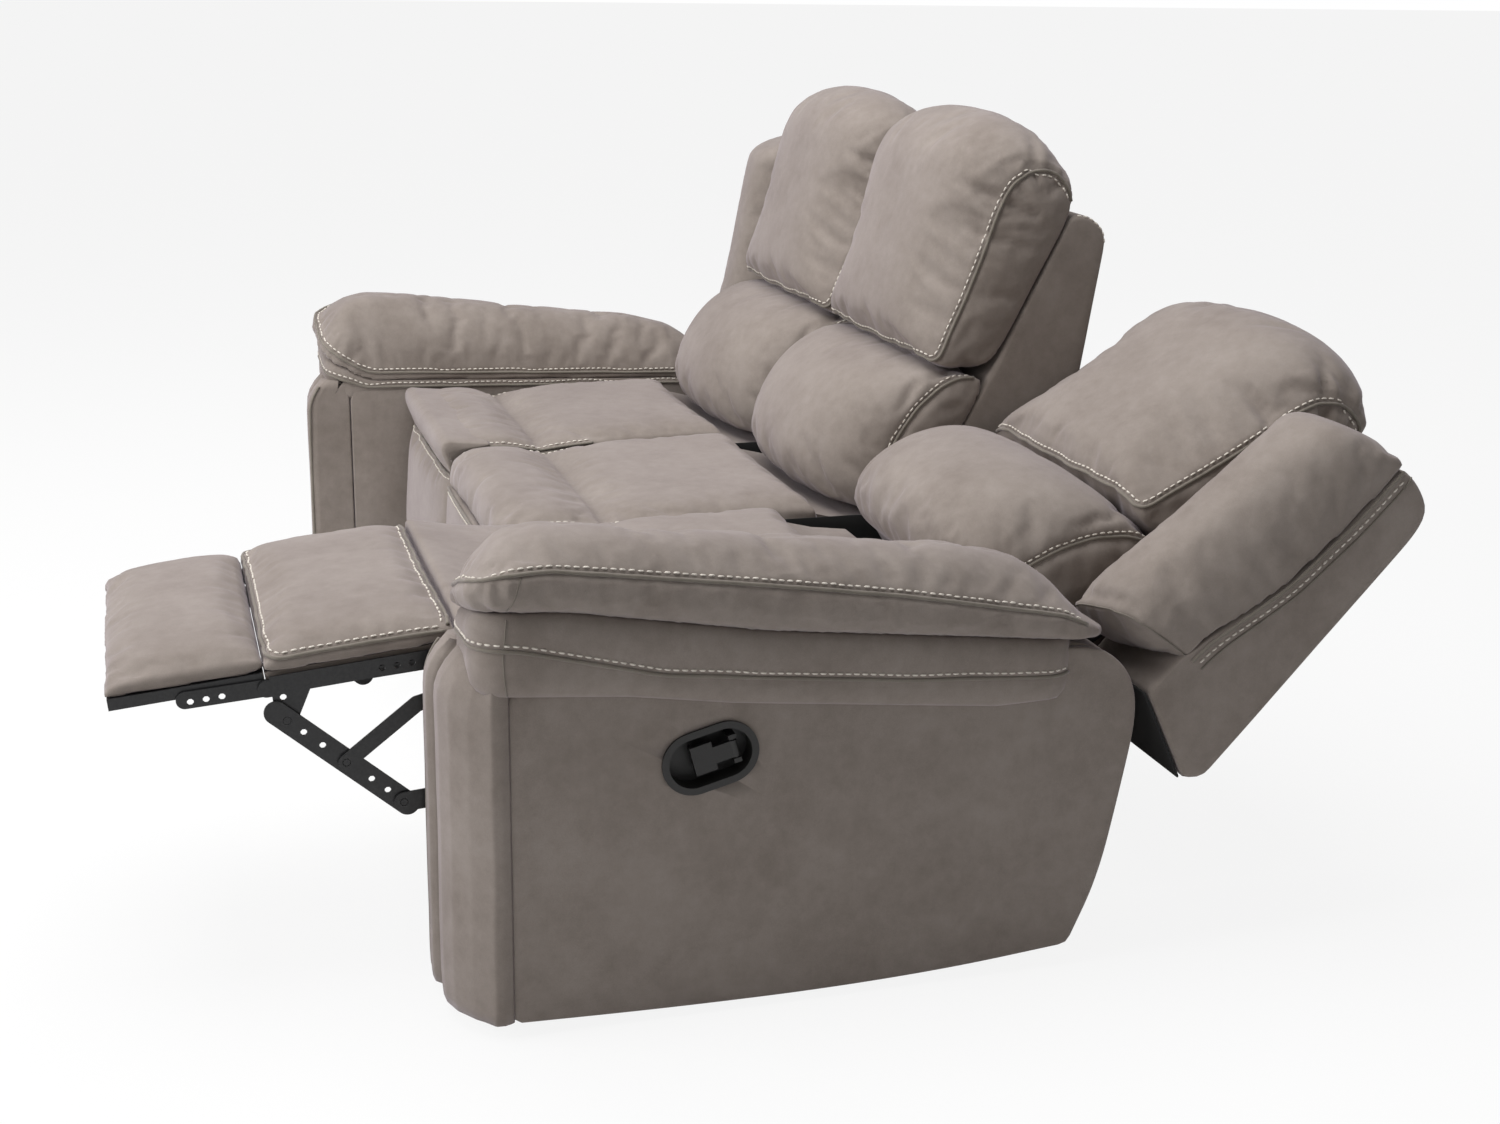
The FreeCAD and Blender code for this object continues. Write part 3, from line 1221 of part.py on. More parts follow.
make_base()
for unit, sign in (("near", 1), ("far", -1)):
    make_arm(unit, sign)
make_handles()
make_middle()
for unit, sign, pose in (("near", 1, OPEN), ("far", -1, CLOSED)):
    make_seat(unit, sign, pose)
    make_footrest(unit, sign, pose)
    make_links(unit, sign, pose)
    make_back(unit, sign, pose)

doc.recompute()
to_origin = FreeCAD.Placement(FreeCAD.Vector(0, -z.origin_depth.value, 0), FreeCAD.Rotation())
for label, (item, placement) in nodes.items():
    item.Placement = to_origin.multiply(placement).multiply(item.Placement)
doc.recompute()

for item in doc.Objects:
    if "Invalid" in item.State or "Error" in item.State:
        raise RuntimeError("%s (%s) failed: %s" % (item.Label, item.Name, item.State))
os.makedirs("parts", exist_ok=True)
for label, (item, placement) in nodes.items():
    shape = item.Shape
    if shape.isNull() or not shape.isValid() or not shape.Solids:
        raise RuntimeError("%s has no valid shape" % label)
    shape.exportStep("parts/%s.step" % label)
print("%d pieces written" % len(nodes))
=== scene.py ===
"""Looks of the reclining sofa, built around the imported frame."""

import math
import random

import bmesh
import bpy
from mathutils import Matrix, Vector, noise
from mathutils.bvhtree import BVHTree
from mathutils.kdtree import KDTree


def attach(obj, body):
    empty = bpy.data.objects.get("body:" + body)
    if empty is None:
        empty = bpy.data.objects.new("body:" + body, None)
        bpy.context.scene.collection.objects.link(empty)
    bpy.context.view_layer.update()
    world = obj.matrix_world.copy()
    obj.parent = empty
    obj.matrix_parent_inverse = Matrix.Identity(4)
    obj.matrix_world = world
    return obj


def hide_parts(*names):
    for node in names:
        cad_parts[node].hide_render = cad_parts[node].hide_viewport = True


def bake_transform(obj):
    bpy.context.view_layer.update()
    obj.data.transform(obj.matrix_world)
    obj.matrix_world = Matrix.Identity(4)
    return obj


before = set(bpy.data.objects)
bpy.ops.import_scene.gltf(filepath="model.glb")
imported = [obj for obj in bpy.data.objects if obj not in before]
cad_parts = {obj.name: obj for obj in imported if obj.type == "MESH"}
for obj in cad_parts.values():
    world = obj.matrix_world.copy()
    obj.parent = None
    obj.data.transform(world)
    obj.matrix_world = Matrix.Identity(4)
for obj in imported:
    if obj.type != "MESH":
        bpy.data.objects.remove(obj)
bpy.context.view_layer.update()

# Sizes, millimetres

ORIGIN = 445.0  # from the zero of depth used here back to the row's origin
SEAT = 530.0  # pitch of the seats
ARM_IN = 797.0
ARM_OUT = 967.0
SLIDE = (-80.0, 8.0)  # depth and height that a carriage gains as its back goes down
RECLINE = 40.0
FOLD = 80.0
FLIP = 180.0
# (depth, height) of the back's hinge and of the footrest's rear seam, open and shut
BACK_PIVOT = (762.0, 386.0)
SEAM_OPEN = (67.0, 490.0)
SEAM_SHUT = (132.0, 412.0)
TILT = 5.6  # slope of the open footrest
CROWN = 53.0  # rise of its pads over its board's underside
MAIN_RUN = 238.0
FLIP_START = 242.0
FLIP_RUN = 186.0
OPEN, SHUT = 1.0, 0.0
UNITS = (("near", 1, OPEN), ("far", -1, SHUT))

# The footrest's centre of turn is the one that carries its rear seam from open to shut
HALF_COT = 0.5 / math.tan(math.radians(FOLD / 2))
POLE = ((SEAM_OPEN[0] + SEAM_SHUT[0]) / 2 + (SEAM_OPEN[1] - SEAM_SHUT[1]) * HALF_COT,
        (SEAM_OPEN[1] + SEAM_SHUT[1]) / 2 + (SEAM_SHUT[0] - SEAM_OPEN[0]) * HALF_COT)


def footrest_point(run, rise):
    """(depth, height) of the open footrest's point, carriage at the back."""
    c, s = math.cos(math.radians(TILT)), math.sin(math.radians(TILT))
    y0, z0 = SEAM_OPEN[0] + CROWN * s, SEAM_OPEN[1] - CROWN * c
    return (y0 - run * c - rise * s, z0 - run * s + rise * c)


HINGE = footrest_point(MAIN_RUN + 2, -4)


def about(point, angle):
    centre = Vector((0, point[0], point[1]))
    turn = Matrix.Rotation(math.radians(angle), 4, "X")
    return Matrix.Translation(centre) @ turn @ Matrix.Translation(-centre)


def placed(body, side, state):
    """Matrix from a recliner's own millimetres (middle of its seat, back upright, footrest open,
    carriage at the back) to the row frame in metres."""
    shift = Matrix.Translation((side * SEAT, SLIDE[0] * state - ORIGIN, SLIDE[1] * state))
    shut = FOLD * (1 - state)
    if body == "back":
        shift = shift @ about(BACK_PIVOT, -RECLINE * state)
    if body in ("footrest", "flip"):
        shift = shift @ about(POLE, shut)
    if body == "flip":
        shift = shift @ about(HINGE, FLIP * (1 - state))
    return Matrix.Scale(0.001, 4) @ shift


FIXED = Matrix.Scale(0.001, 4) @ Matrix.Translation((0, -ORIGIN, 0))
MIRROR = Matrix.Scale(-1, 4, (1, 0, 0))

# Materials


def put(node, values):
    for name, value in values.items():
        node.inputs[name].default_value = value


def material(name, base, rough):
    mat = bpy.data.materials.new(name)
    mat.use_nodes = True
    nodes, links = mat.node_tree.nodes, mat.node_tree.links
    shader = nodes["Principled BSDF"]
    put(shader, {"Base Color": (*base, 1), "Roughness": rough})
    return mat, nodes, links, shader


def noise_node(nodes, links, coords, scale, detail, rough):
    node = nodes.new("ShaderNodeTexNoise")
    put(node, {"Scale": scale, "Detail": detail, "Roughness": rough})
    links.new(coords, node.inputs["Vector"])
    return node.outputs["Fac"]


def ramp_node(nodes, links, value, stops):
    node = nodes.new("ShaderNodeValToRGB")
    links.new(value, node.inputs["Fac"])
    ramp = node.color_ramp
    while len(ramp.elements) < len(stops):
        ramp.elements.new(0.5)
    for element, (place, colour) in zip(ramp.elements, stops):
        element.position = place
        element.color = (*colour, 1)
    return node.outputs["Color"]


def mix_node(nodes, links, kind, blend, factor, a, b):
    node = nodes.new("ShaderNodeMix")
    node.data_type = kind
    node.blend_type = blend
    node.inputs["Factor"].default_value = factor
    links.new(a, node.inputs["A"])
    links.new(b, node.inputs["B"])
    return node.outputs["Result"]


def add_relief(nodes, links, shader, height, strength, distance):
    bump = nodes.new("ShaderNodeBump")
    put(bump, {"Strength": strength, "Distance": distance})
    links.new(height, bump.inputs["Height"])
    links.new(bump.outputs["Normal"], shader.inputs["Normal"])


def suede(name, dark, light, bump=0.25):
    """Brushed microfibre: patches of nap laid either way, a fine grain and a soft sheen."""
    mid = [(a + b) / 2 for a, b in zip(dark, light)]
    mat, nodes, links, shader = material(name, mid, 0.86)
    coords = nodes.new("ShaderNodeTexCoord").outputs["Object"]
    patches = noise_node(nodes, links, coords, 7.0, 4.0, 0.6)
    streaks = noise_node(nodes, links, coords, 46.0, 3.0, 0.65)
    grain = noise_node(nodes, links, coords, 900.0, 2.0, 0.5)
    nap = mix_node(nodes, links, "FLOAT", "MIX", 0.38, patches, streaks)
    tone = ramp_node(nodes, links, nap, ((0.34, dark), (0.66, light)))
    fine = ramp_node(nodes, links, grain, ((0.25, (0.86,) * 3), (0.75, (1.0,) * 3)))
    colour = mix_node(nodes, links, "RGBA", "MULTIPLY", 1.0, tone, fine)
    links.new(colour, shader.inputs["Base Color"])
    height = nodes.new("ShaderNodeMath")
    height.operation = "MULTIPLY_ADD"
    height.inputs[1].default_value = 0.5
    links.new(grain, height.inputs[0])
    links.new(streaks, height.inputs[2])
    add_relief(nodes, links, shader, height.outputs["Value"], bump, 0.0012)
    put(shader, {"Sheen Weight": 0.35, "Sheen Roughness": 0.45,
                 "Sheen Tint": (0.80, 0.72, 0.82, 1), "Specular IOR Level": 0.18})
    return mat


def grained(name, dark, light, rough, scale, metallic=0.0, bump=0.1):
    """Paint, plastic, wire or wood: two tones and a grain in the relief."""
    mat, nodes, links, shader = material(name, light, rough)
    coords = nodes.new("ShaderNodeTexCoord").outputs["Object"]
    grain = noise_node(nodes, links, coords, scale, 3.0, 0.6)
    tone = ramp_node(nodes, links, grain, ((0.3, dark), (0.7, light)))
    links.new(tone, shader.inputs["Base Color"])
    add_relief(nodes, links, shader, grain, bump, 0.0004)
    shader.inputs["Metallic"].default_value = metallic
    return mat


SUEDE = suede("taupe_suede", (0.225, 0.190, 0.165), (0.300, 0.260, 0.232))
PIPING = suede("piping_suede", (0.180, 0.160, 0.132), (0.235, 0.210, 0.178), 0.15)
THREAD = grained("cream_thread", (0.62, 0.57, 0.50), (0.78, 0.73, 0.66), 0.6, 1400.0)
STEEL = grained("black_steel_paint", (0.010, 0.010, 0.011), (0.022, 0.022, 0.023), 0.38, 260.0)
WIRE = grained("spring_steel", (0.16, 0.16, 0.16), (0.30, 0.30, 0.30), 0.35, 300.0, 1.0)
ZINC = grained("zinc_bolts", (0.35, 0.35, 0.36), (0.52, 0.52, 0.53), 0.3, 240.0, 1.0)
WOOD = grained("plain_plywood", (0.30, 0.19, 0.10), (0.48, 0.33, 0.19), 0.6, 22.0, 0.0, 0.2)
PLASTIC = grained("handle_plastic", (0.012, 0.011, 0.011), (0.020, 0.019, 0.018), 0.42, 1600.0)
GLIDE = grained("glide_plastic", (0.012, 0.012, 0.012), (0.022, 0.022, 0.022), 0.6, 900.0)
DUST = grained("dust_cloth", (0.010, 0.010, 0.010), (0.020, 0.020, 0.020), 0.95, 1200.0)

NODE_LOOKS = (
    ("spring", WIRE), ("links", STEEL), ("brackets", STEEL), ("side_plates", STEEL),
    ("flip_board", STEEL), ("tracks", STEEL), ("bolts", ZINC), ("seat_frame", WOOD),
    ("cross_rails", WOOD), ("feet", GLIDE), ("bezel", PLASTIC), ("lever", PLASTIC))
EDGE_WIDTH = 0.0005  # metres
for node_name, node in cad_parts.items():
    look = next((mat for word, mat in NODE_LOOKS if word in node_name), SUEDE)
    node.data.materials.clear()
    node.data.materials.append(look)
    if look in (STEEL, PLASTIC):
        edge = node.modifiers.new("edge", "BEVEL")
        edge.width = EDGE_WIDTH
        edge.segments = 2
        edge.angle_limit = math.radians(50)
        edge.harden_normals = True

# Curves and meshes


def places(spans, count, steps):
    """(span, share of it) at even steps along a broken line of these spans."""
    ends = [0.0]
    for span in spans:
        ends.append(ends[-1] + span)
    out, k = [], 0
    for i in range(count):
        want = ends[-1] * i / steps
        while k < len(spans) - 1 and ends[k + 1] < want:
            k += 1
        out.append((k, min(1.0, max(0.0, (want - ends[k]) / (ends[k + 1] - ends[k] or 1.0)))))
    return out


def smooth_loop(points, count):
    """Points at even steps on a smooth closed curve through the given ones."""
    pts = [Vector(p) for p in points]
    fine = []
    for i in range(len(pts)):
        p0, p1, p2, p3 = (pts[(i + k) % len(pts)] for k in (-1, 0, 1, 2))
        for k in range(16):
            t = k / 16
            fine.append(0.5 * ((2 * p1) + (p2 - p0) * t + (2 * p0 - 5 * p1 + 4 * p2 - p3) * t * t
                               + (3 * p1 - p0 - 3 * p2 + p3) * t ** 3))
    fine.append(pts[0])
    spans = [(b - a).length for a, b in zip(fine, fine[1:])]
    return [fine[k].lerp(fine[k + 1], t) for k, t in places(spans, count, count)]


def line_at(points, x):
    """Height of a broken line at x, with its ends held level."""
    if x <= points[0][0]:
        return points[0][1]
    for (xa, ya), (xb, yb) in zip(points, points[1:]):
        if x <= xb:
            return ya + (yb - ya) * (x - xa) / (xb - xa)
    return points[-1][1]


def even(points, step, closed=False):
    """A broken line cut into even steps, as vectors."""
    pts = [Vector(p) for p in points]
    if closed:
        pts.append(pts[0])
    spans = [(b - a).length for a, b in zip(pts, pts[1:])]
    count = max(2, round(sum(spans) / step))
    return [pts[k].lerp(pts[k + 1], t)
            for k, t in places(spans, count if closed else count + 1, count)]


def even_loop(points, count):
    """A closed broken line in plan, as count even points."""
    pts = list(points) + [points[0]]
    out = []
    for k, t in places([math.dist(a, b) for a, b in zip(pts, pts[1:])], count, count):
        (xa, ya), (xb, yb) = pts[k], pts[k + 1]
        out.append((xa + (xb - xa) * t, ya + (yb - ya) * t))
    return out


def rounded(corners, count):
    """A closed outline from (y, z, radius) corners, as even points in the plane X = 0."""
    pts = []
    for i, (y, z, radius) in enumerate(corners):
        here = Vector((0, y, z))
        cuts = []
        for ya, za, _ in (corners[i - 1], corners[(i + 1) % len(corners)]):
            reach = Vector((0, ya, za)) - here
            cuts.append(here + reach.normalized() * min(radius, reach.length * 0.48))
        for k in range(9):
            t = k / 8
            pts.append(cuts[0] * (1 - t) ** 2 + here * 2 * t * (1 - t) + cuts[1] * t * t)
    pts = [p for p, q in zip(pts, pts[1:] + pts[:1]) if (p - q).length > 1e-6]
    total = sum((a - b).length for a, b in zip(pts, pts[1:] + pts[:1]))
    return even(pts, total / count, closed=True)[:count]


def share_point(points, t):
    """Point at share t of a broken line in (y, z)."""
    fine = even([(0, *p) for p in points], 2.0)
    return fine[min(len(fine) - 1, round(t * (len(fine) - 1)))]


def add_object(name, data):
    obj = bpy.data.objects.new(name, data)
    bpy.context.scene.collection.objects.link(obj)
    return obj


def shade_smooth(obj):
    obj.data.polygons.foreach_set("use_smooth", [True] * len(obj.data.polygons))


def new_object(name, verts, faces, mat, smooth=True):
    mesh = bpy.data.meshes.new(name)
    mesh.from_pydata([tuple(v) for v in verts], [], faces)
    mesh.validate()
    mesh.update()
    mesh.materials.append(mat)
    obj = add_object(name, mesh)
    if smooth:
        shade_smooth(obj)
    return obj


def loops_mesh(name, loops, mat):
    """Closed loops of equal length joined into a skin, ends filled."""
    count = len(loops[0])
    verts = [p for loop in loops for p in loop]
    faces = []
    for i in range(len(loops) - 1):
        for k in range(count):
            m = (k + 1) % count
            faces.append((i * count + k, i * count + m, (i + 1) * count + m, (i + 1) * count + k))
    for i in (0, len(loops) - 1):
        verts.append(sum((Vector(p) for p in loops[i]), Vector()) / count)
        for k in range(count):
            faces.append((i * count + k, i * count + (k + 1) % count, len(verts) - 1))
    obj = new_object(name, verts, faces, mat)
    bm = bmesh.new()
    bm.from_mesh(obj.data)
    bmesh.ops.remove_doubles(bm, verts=bm.verts, dist=WELD)
    bmesh.ops.recalc_face_normals(bm, faces=bm.faces)
    bm.to_mesh(obj.data)
    bm.free()
    return obj


WELD = 0.02
TUBE_SIDES = 8
STATIONS = 34
BROAD_WAVE = 0.03
FINE_WAVE = 0.022


def ripple(p, size, seed):
    return noise.noise(Vector((p[0] / size + seed * 7.3, p[1] / size - seed, p[2] / size)))


def cushion(name, crown, seam, half, count=110, power=2.6, lift=0.55, bulge=5.0, seed=1):
    """A cushion along X: outline crown at its middle, outline seam at its two sides."""
    outer = smooth_loop([(0, *p) for p in crown], count)
    inner = smooth_loop([(0, *p) for p in seam], count)
    middle = sum(inner, Vector()) / count
    rows = []
    for j in range(STATIONS + 1):
        u = -math.cos(math.pi * j / STATIONS)
        share = max(0.0, 1 - abs(u) ** power) ** lift
        row = []
        for a, b in zip(inner, outer):
            p = a.lerp(b, share)
            p += (b - a) * BROAD_WAVE * ripple((half * u, p.y, p.z), 120, seed) * share
            p.x = half * u
            wave = FINE_WAVE * (b - a).length * share * ripple(p, 55, seed + 3)
            row.append(p + Vector((0, wave, wave)))
        rows.append(row)
    ends = []
    for side in (-1, 1):
        caps = []
        for t in (0.35, 0.7, 0.92):
            x = side * (half + bulge * math.sqrt(1 - t * t) - 1.5)
            caps.append([Vector((x, 0, 0)) + middle + (p - middle) * t for p in inner])
        ends.append(caps)
    return loops_mesh(name, ends[0] + rows + ends[1][::-1], SUEDE)


def settle(obj, matrix):
    obj.data.transform(matrix)
    if matrix.determinant() < 0:
        obj.data.flip_normals()
    obj.data.update()
    return obj


def finish_piece(obj, body, nodes=()):
    if body:
        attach(obj, body)
    if nodes:
        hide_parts(*nodes)


def tube(name, path, radius, mat):
    """A round cord along a path of close points, millimetres."""
    loops = []
    up = Vector((0, 0, 1))
    for i, p in enumerate(path):
        a, b = path[max(0, i - 1)], path[min(len(path) - 1, i + 1)]
        along = (b - a).normalized() if (b - a).length > 1e-9 else Vector((1, 0, 0))
        side = along.cross(up)
        if side.length < 0.05:
            side = along.cross(Vector((1, 0, 0)))
        side.normalize()
        up = side.cross(along).normalized()
        turns = (2 * math.pi * k / TUBE_SIDES for k in range(TUBE_SIDES))
        loops.append([p + (side * math.cos(q) + up * math.sin(q)) * radius for q in turns])
    return loops_mesh(name, loops, mat)


# Cloth

CLOTH_FRAMES = 16
PRESSURE = 4.0
SHRINK = -0.035
VOXEL = 7.0
SEAM_HOLD, SEAM_FADE = 5, 9
FLAT_HOLD, FLAT_FADE = 8, 8
cloth_jobs = []


def point_tree(pts):
    tree = KDTree(len(pts))
    for i, p in enumerate(pts):
        tree.insert(p, i)
    tree.balance()
    return tree


def soften(cover, seams, flat, cap, limit=None):
    """Lists a cover for the cloth run: seams and its flat side stay, the rest swells up to cap."""
    cloth_jobs.append((cover, seams, flat, cap, limit))
    return cover


def run_cloth():
    """Inflates every listed cover at once and keeps the result in its mesh."""
    for cover, seams, flat, _, _ in cloth_jobs:
        remesh = cover.modifiers.new("remesh", "REMESH")
        remesh.mode = "VOXEL"
        remesh.voxel_size = VOXEL
        apply_modifiers(cover)
        mesh = cover.data
        seam_tree = point_tree([p for line in seams for p in even(line, 4.0)])
        flat_tree = point_tree(even([(0, *p) for p in flat], 2.0))
        group = cover.vertex_groups.new(name="pin")
        for vertex in mesh.vertices:
            away = seam_tree.find(vertex.co)[2]
            rest = flat_tree.find((0, vertex.co.y, vertex.co.z))[2]
            weight = max(1 - max(0.0, away - SEAM_HOLD) / SEAM_FADE,
                         1 - max(0.0, rest - FLAT_HOLD) / FLAT_FADE)
            group.add([vertex.index], min(1.0, max(0.0, weight)), "REPLACE")
        mesh.transform(Matrix.Scale(0.001, 4))
        cloth = cover.modifiers.new("cloth", "CLOTH")
        settings = cloth.settings
        settings.quality = 4
        settings.use_pressure = True
        settings.uniform_pressure_force = PRESSURE
        settings.vertex_group_mass = "pin"
        settings.pin_stiffness = 1.0
        settings.shrink_min = SHRINK
        settings.effector_weights.gravity = 0
        cloth.point_cache.frame_start = 1
        cloth.point_cache.frame_end = CLOTH_FRAMES
    scene = bpy.context.scene
    scene.frame_start, scene.frame_end = 1, CLOTH_FRAMES
    for step in range(1, CLOTH_FRAMES + 1):
        scene.frame_set(step)
    graph = bpy.context.evaluated_depsgraph_get()
    results = []
    for job in cloth_jobs:
        swollen = job[0].evaluated_get(graph).to_mesh()
        results.append([v.co.copy() for v in swollen.vertices])
    for (cover, _, _, cap, limit), after in zip(cloth_jobs, results):
        cover.modifiers.clear()
        cover.vertex_groups.clear()
        for vertex, new in zip(cover.data.vertices, after):
            shift = (new - vertex.co) * 1000
            vertex.co *= 1000
            if shift.length > 1e-6:
                vertex.co += shift.normalized() * cap * math.tanh(shift.length / cap)
            if limit and abs(vertex.co.x) > limit:
                vertex.co.x = math.copysign(limit, vertex.co.x)
        smooth_mesh(cover)
    scene.frame_set(1)


def smooth_mesh(obj):
    bm = bmesh.new()
    bm.from_mesh(obj.data)
    bmesh.ops.smooth_vert(bm, verts=bm.verts, factor=0.5, use_axis_x=True, use_axis_y=True,
                          use_axis_z=True)
    bm.to_mesh(obj.data)
    bm.free()
    shade_smooth(obj)


# Seams


PRESS_STEP = 3.0
TRACE_STEP = 4.0
STITCH_PITCH = 11.0
STITCH_LENGTH = 8.0
STITCH_HALF = 1.25


def press(obj, path, width=9.0, depth=0.0, puckers=0.0, reach=38.0, spacing=34.0, wide=7.0,
          seed=1, where=(0.0, 1.1)):
    """Sinks a seam along path, with small creases running off it."""
    pts = even(path, PRESS_STEP)
    tree = point_tree(pts)
    length = PRESS_STEP * len(pts)
    draw = random.Random(seed)
    creases, s = [], spacing * 0.4
    while s < length:
        creases.append((s, draw.uniform(0.35, 1.0), draw.uniform(-0.35, 0.35)))
        s += spacing * draw.uniform(0.5, 1.5)
    creases = [c for c in creases if where[0] <= c[0] / length <= where[1]]
    mesh = obj.data
    normals = [v.normal.copy() for v in mesh.vertices]
    for vertex, normal in zip(mesh.vertices, normals):
        _, index, away = tree.find(vertex.co)
        sink = depth * (1 - (away / width) ** 2) ** 2 if away < width else 0.0
        if puckers and away < reach * 2.5:
            fade = math.exp(-((away / reach) ** 2)) * (1 - math.exp(-away / 5))
            for s, size, lean in creases:
                off = (index * PRESS_STEP - s - lean * away) / wide
                if abs(off) < 3:
                    sink += puckers * size * math.exp(-off * off) * fade
        if sink:
            vertex.co -= normal * sink
    mesh.update()


def relaxed(pts):
    inner = [(pts[i - 1] + pts[i] * 2 + pts[i + 1]) / 4 for i in range(1, len(pts) - 1)]
    return [pts[0]] + inner + [pts[-1]]


def trace(tree, path, passes):
    """A path laid on a surface: [(point, normal)]."""
    pts = even(path, TRACE_STEP)
    for _ in range(2):
        pts = [tree.find_nearest(p)[0] for p in pts]
        for _ in range(passes):
            pts = relaxed(pts)
    laid = [tree.find_nearest(p) for p in pts]
    out = []
    for i, hit in enumerate(laid):
        group = laid[max(0, i - 2):i + 3]
        out.append((hit[0], sum((g[1] for g in group), Vector()).normalized()))
    return out


def stitch_row(tree, line, offset, inside, verts, faces):
    """Dashes beside a traced line, towards the point inside, or away where offset is negative."""
    row = []
    for i, (p, n) in enumerate(line):
        a, b = line[max(0, i - 1)][0], line[min(len(line) - 1, i + 1)][0]
        side = n.cross((b - a).normalized())
        if side.dot(inside - p) < 0:
            side = -side
        row.append(p + side * offset)
    for _ in range(3):
        row = relaxed(row)
    for p in even(row, STITCH_PITCH)[1:-1]:
        spot, n = tree.find_nearest(p)[:2]
        near = min(range(len(row)), key=lambda i: (row[i] - p).length_squared)
        along = (row[min(len(row) - 1, near + 1)] - row[max(0, near - 1)]).normalized()
        across = n.cross(along).normalized()
        base = len(verts)
        for step, size in ((-0.5, 0.35), (-0.3, 1.0), (0.3, 1.0), (0.5, 0.35)):
            centre = spot + along * STITCH_LENGTH * step + n * (0.9 * size - 0.35)
            for u, v in ((-1, -0.8), (1, -0.8), (0.75, 0.8), (-0.75, 0.8)):
                verts.append(centre + (across * u + n * v) * STITCH_HALF * size)
        for k in range(3):
            for m in range(4):
                q = (m + 1) % 4
                faces.append(tuple(base + 4 * k + c for c in (m, q, 4 + q, 4 + m)))
        faces.append(tuple(base + c for c in (3, 2, 1, 0)))
        faces.append(tuple(base + c for c in (12, 13, 14, 15)))


class Kit:
    """A cover with its piping cords and stitches, in millimetres."""

    def __init__(self, cover):
        self.cover = cover
        self.cords = []
        self.verts, self.faces = [], []

    def welt(self, path, inside=None, rows=(7.5,), radius=2.7, passes=8, sink=2.5, **creases):
        """Sinks a seam, then lays its piping and its rows of stitches."""
        if sink or creases:
            press(self.cover, path, depth=sink, **creases)
        mesh = self.cover.data
        tree = BVHTree.FromPolygons([v.co for v in mesh.vertices], [p.vertices for p in mesh.polygons])
        line = trace(tree, path, passes)
        if radius:
            self.cords.append(([p + n * radius * 0.45 for p, n in line], radius))
        for offset in rows:
            stitch_row(tree, line, offset, inside, self.verts, self.faces)

    def place(self, unit, kind, matrix, body, nodes=(), fill=None, mirror=False):
        name = "%s_%s_" % (unit, kind)
        if mirror:
            matrix = matrix @ MIRROR
        cover = settle(add_object(name + "cover", self.cover.data.copy()), matrix)
        finish_piece(cover, body, nodes)
        if self.cords:
            parts = [tube(name + "piping", path, radius, PIPING) for path, radius in self.cords]
            finish_piece(settle(joined(parts), matrix), body)
        if self.verts:
            dashes = new_object(name + "stitches", self.verts, self.faces, THREAD)
            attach(settle(dashes, matrix), body)


def joined(parts):
    first = parts[0]
    bm = bmesh.new()
    for part in parts:
        bm.from_mesh(part.data)
    bm.to_mesh(first.data)
    bm.free()
    for part in parts[1:]:
        bpy.data.objects.remove(part)
    shade_smooth(first)
    return first


# Backs

UPPER_CROWN = [(936, 680), (880, 672), (830, 674), (804, 696), (812, 748), (836, 840), (862, 930),
               (884, 1002), (916, 1038), (968, 1052), (1022, 1040), (1056, 1008), (1066, 962),
               (1060, 918), (1010, 826)]
UPPER_SEAM = [(936, 690), (892, 680), (856, 676), (842, 688), (854, 722), (880, 780), (906, 846),
              (928, 912), (948, 956), (984, 982), (1022, 980), (1048, 956), (1056, 932),
              (1052, 908), (1004, 812)]
LUMBAR_CROWN = [(812, 442), (760, 440), (700, 441), (660, 451), (643, 480), (651, 530), (678, 586),
                (718, 634), (772, 662), (826, 670), (878, 668), (924, 652), (880, 570)]
LUMBAR_SEAM = [(812, 446), (784, 444), (756, 446), (742, 456), (742, 484), (756, 528), (776, 570),
               (806, 612), (844, 644), (876, 658), (900, 658), (922, 646), (878, 566)]
SHELL = [(812, 434), (1034, 434), (1052, 446), (1086, 650), (1117, 868), (1112, 890), (1084, 910),
         (1056, 910), (1020, 838), (930, 664)]


SLAB_COUNT = 120
SLAB_COLUMNS = 14


def rounded_slab(name, outline, x0, x1, edge, mat, soft=1.5, corner=10.0):
    """An upholstered board: an outline along X whose two rims are rounded by edge."""
    ring = rounded([p if len(p) == 3 else (*p, corner) for p in outline], SLAB_COUNT)
    count = len(ring)
    middle = sum(ring, Vector()) / count
    half, centre = abs(x1 - x0) / 2, (x0 + x1) / 2
    rim = []
    for k in range(4):
        q = math.pi / 2 * k / 3.6
        rim.append((half - edge + edge * math.cos(q), edge * (1 - math.sin(q))))
    steps = [(centre - x, inset) for x, inset in rim]
    for k in range(SLAB_COLUMNS + 1):
        steps.append((centre - half + edge + 2 * (half - edge) * k / SLAB_COLUMNS, 0))
    steps += [(centre + x, inset) for x, inset in rim[::-1]]
    loops = []
    for x, inset in steps:
        row = []
        for p in ring:
            away = (p - middle).normalized()
            wave = soft * ripple((x, p.y, p.z), 140, 2)
            row.append(Vector((x, 0, 0)) + p - away * (inset + abs(wave) * 0.6))
        loops.append(row)
    for end in (0, -1):
        mid = sum(loops[end], Vector()) / count
        extra = [[mid + (p - mid) * t for p in loops[end]] for t in (0.85, 0.5)]
        loops = loops + extra if end else extra[::-1] + loops
    return loops_mesh(name, loops, mat)


def side_path(outline, first, last, x):
    return [(x, *p) for p in outline[first:last + 1]]


def soft_cushion(name, crown, seam, half, held, flat, cap, limit, lines=(), **form):
    """A cushion for the cloth run, held along its side seams between two of their points."""
    cover = cushion(name, crown, seam, half, **form)
    sides = [side_path(seam, *held, x) for x in (-half, half)]
    return soften(cover, sides + list(lines), flat, cap, limit)


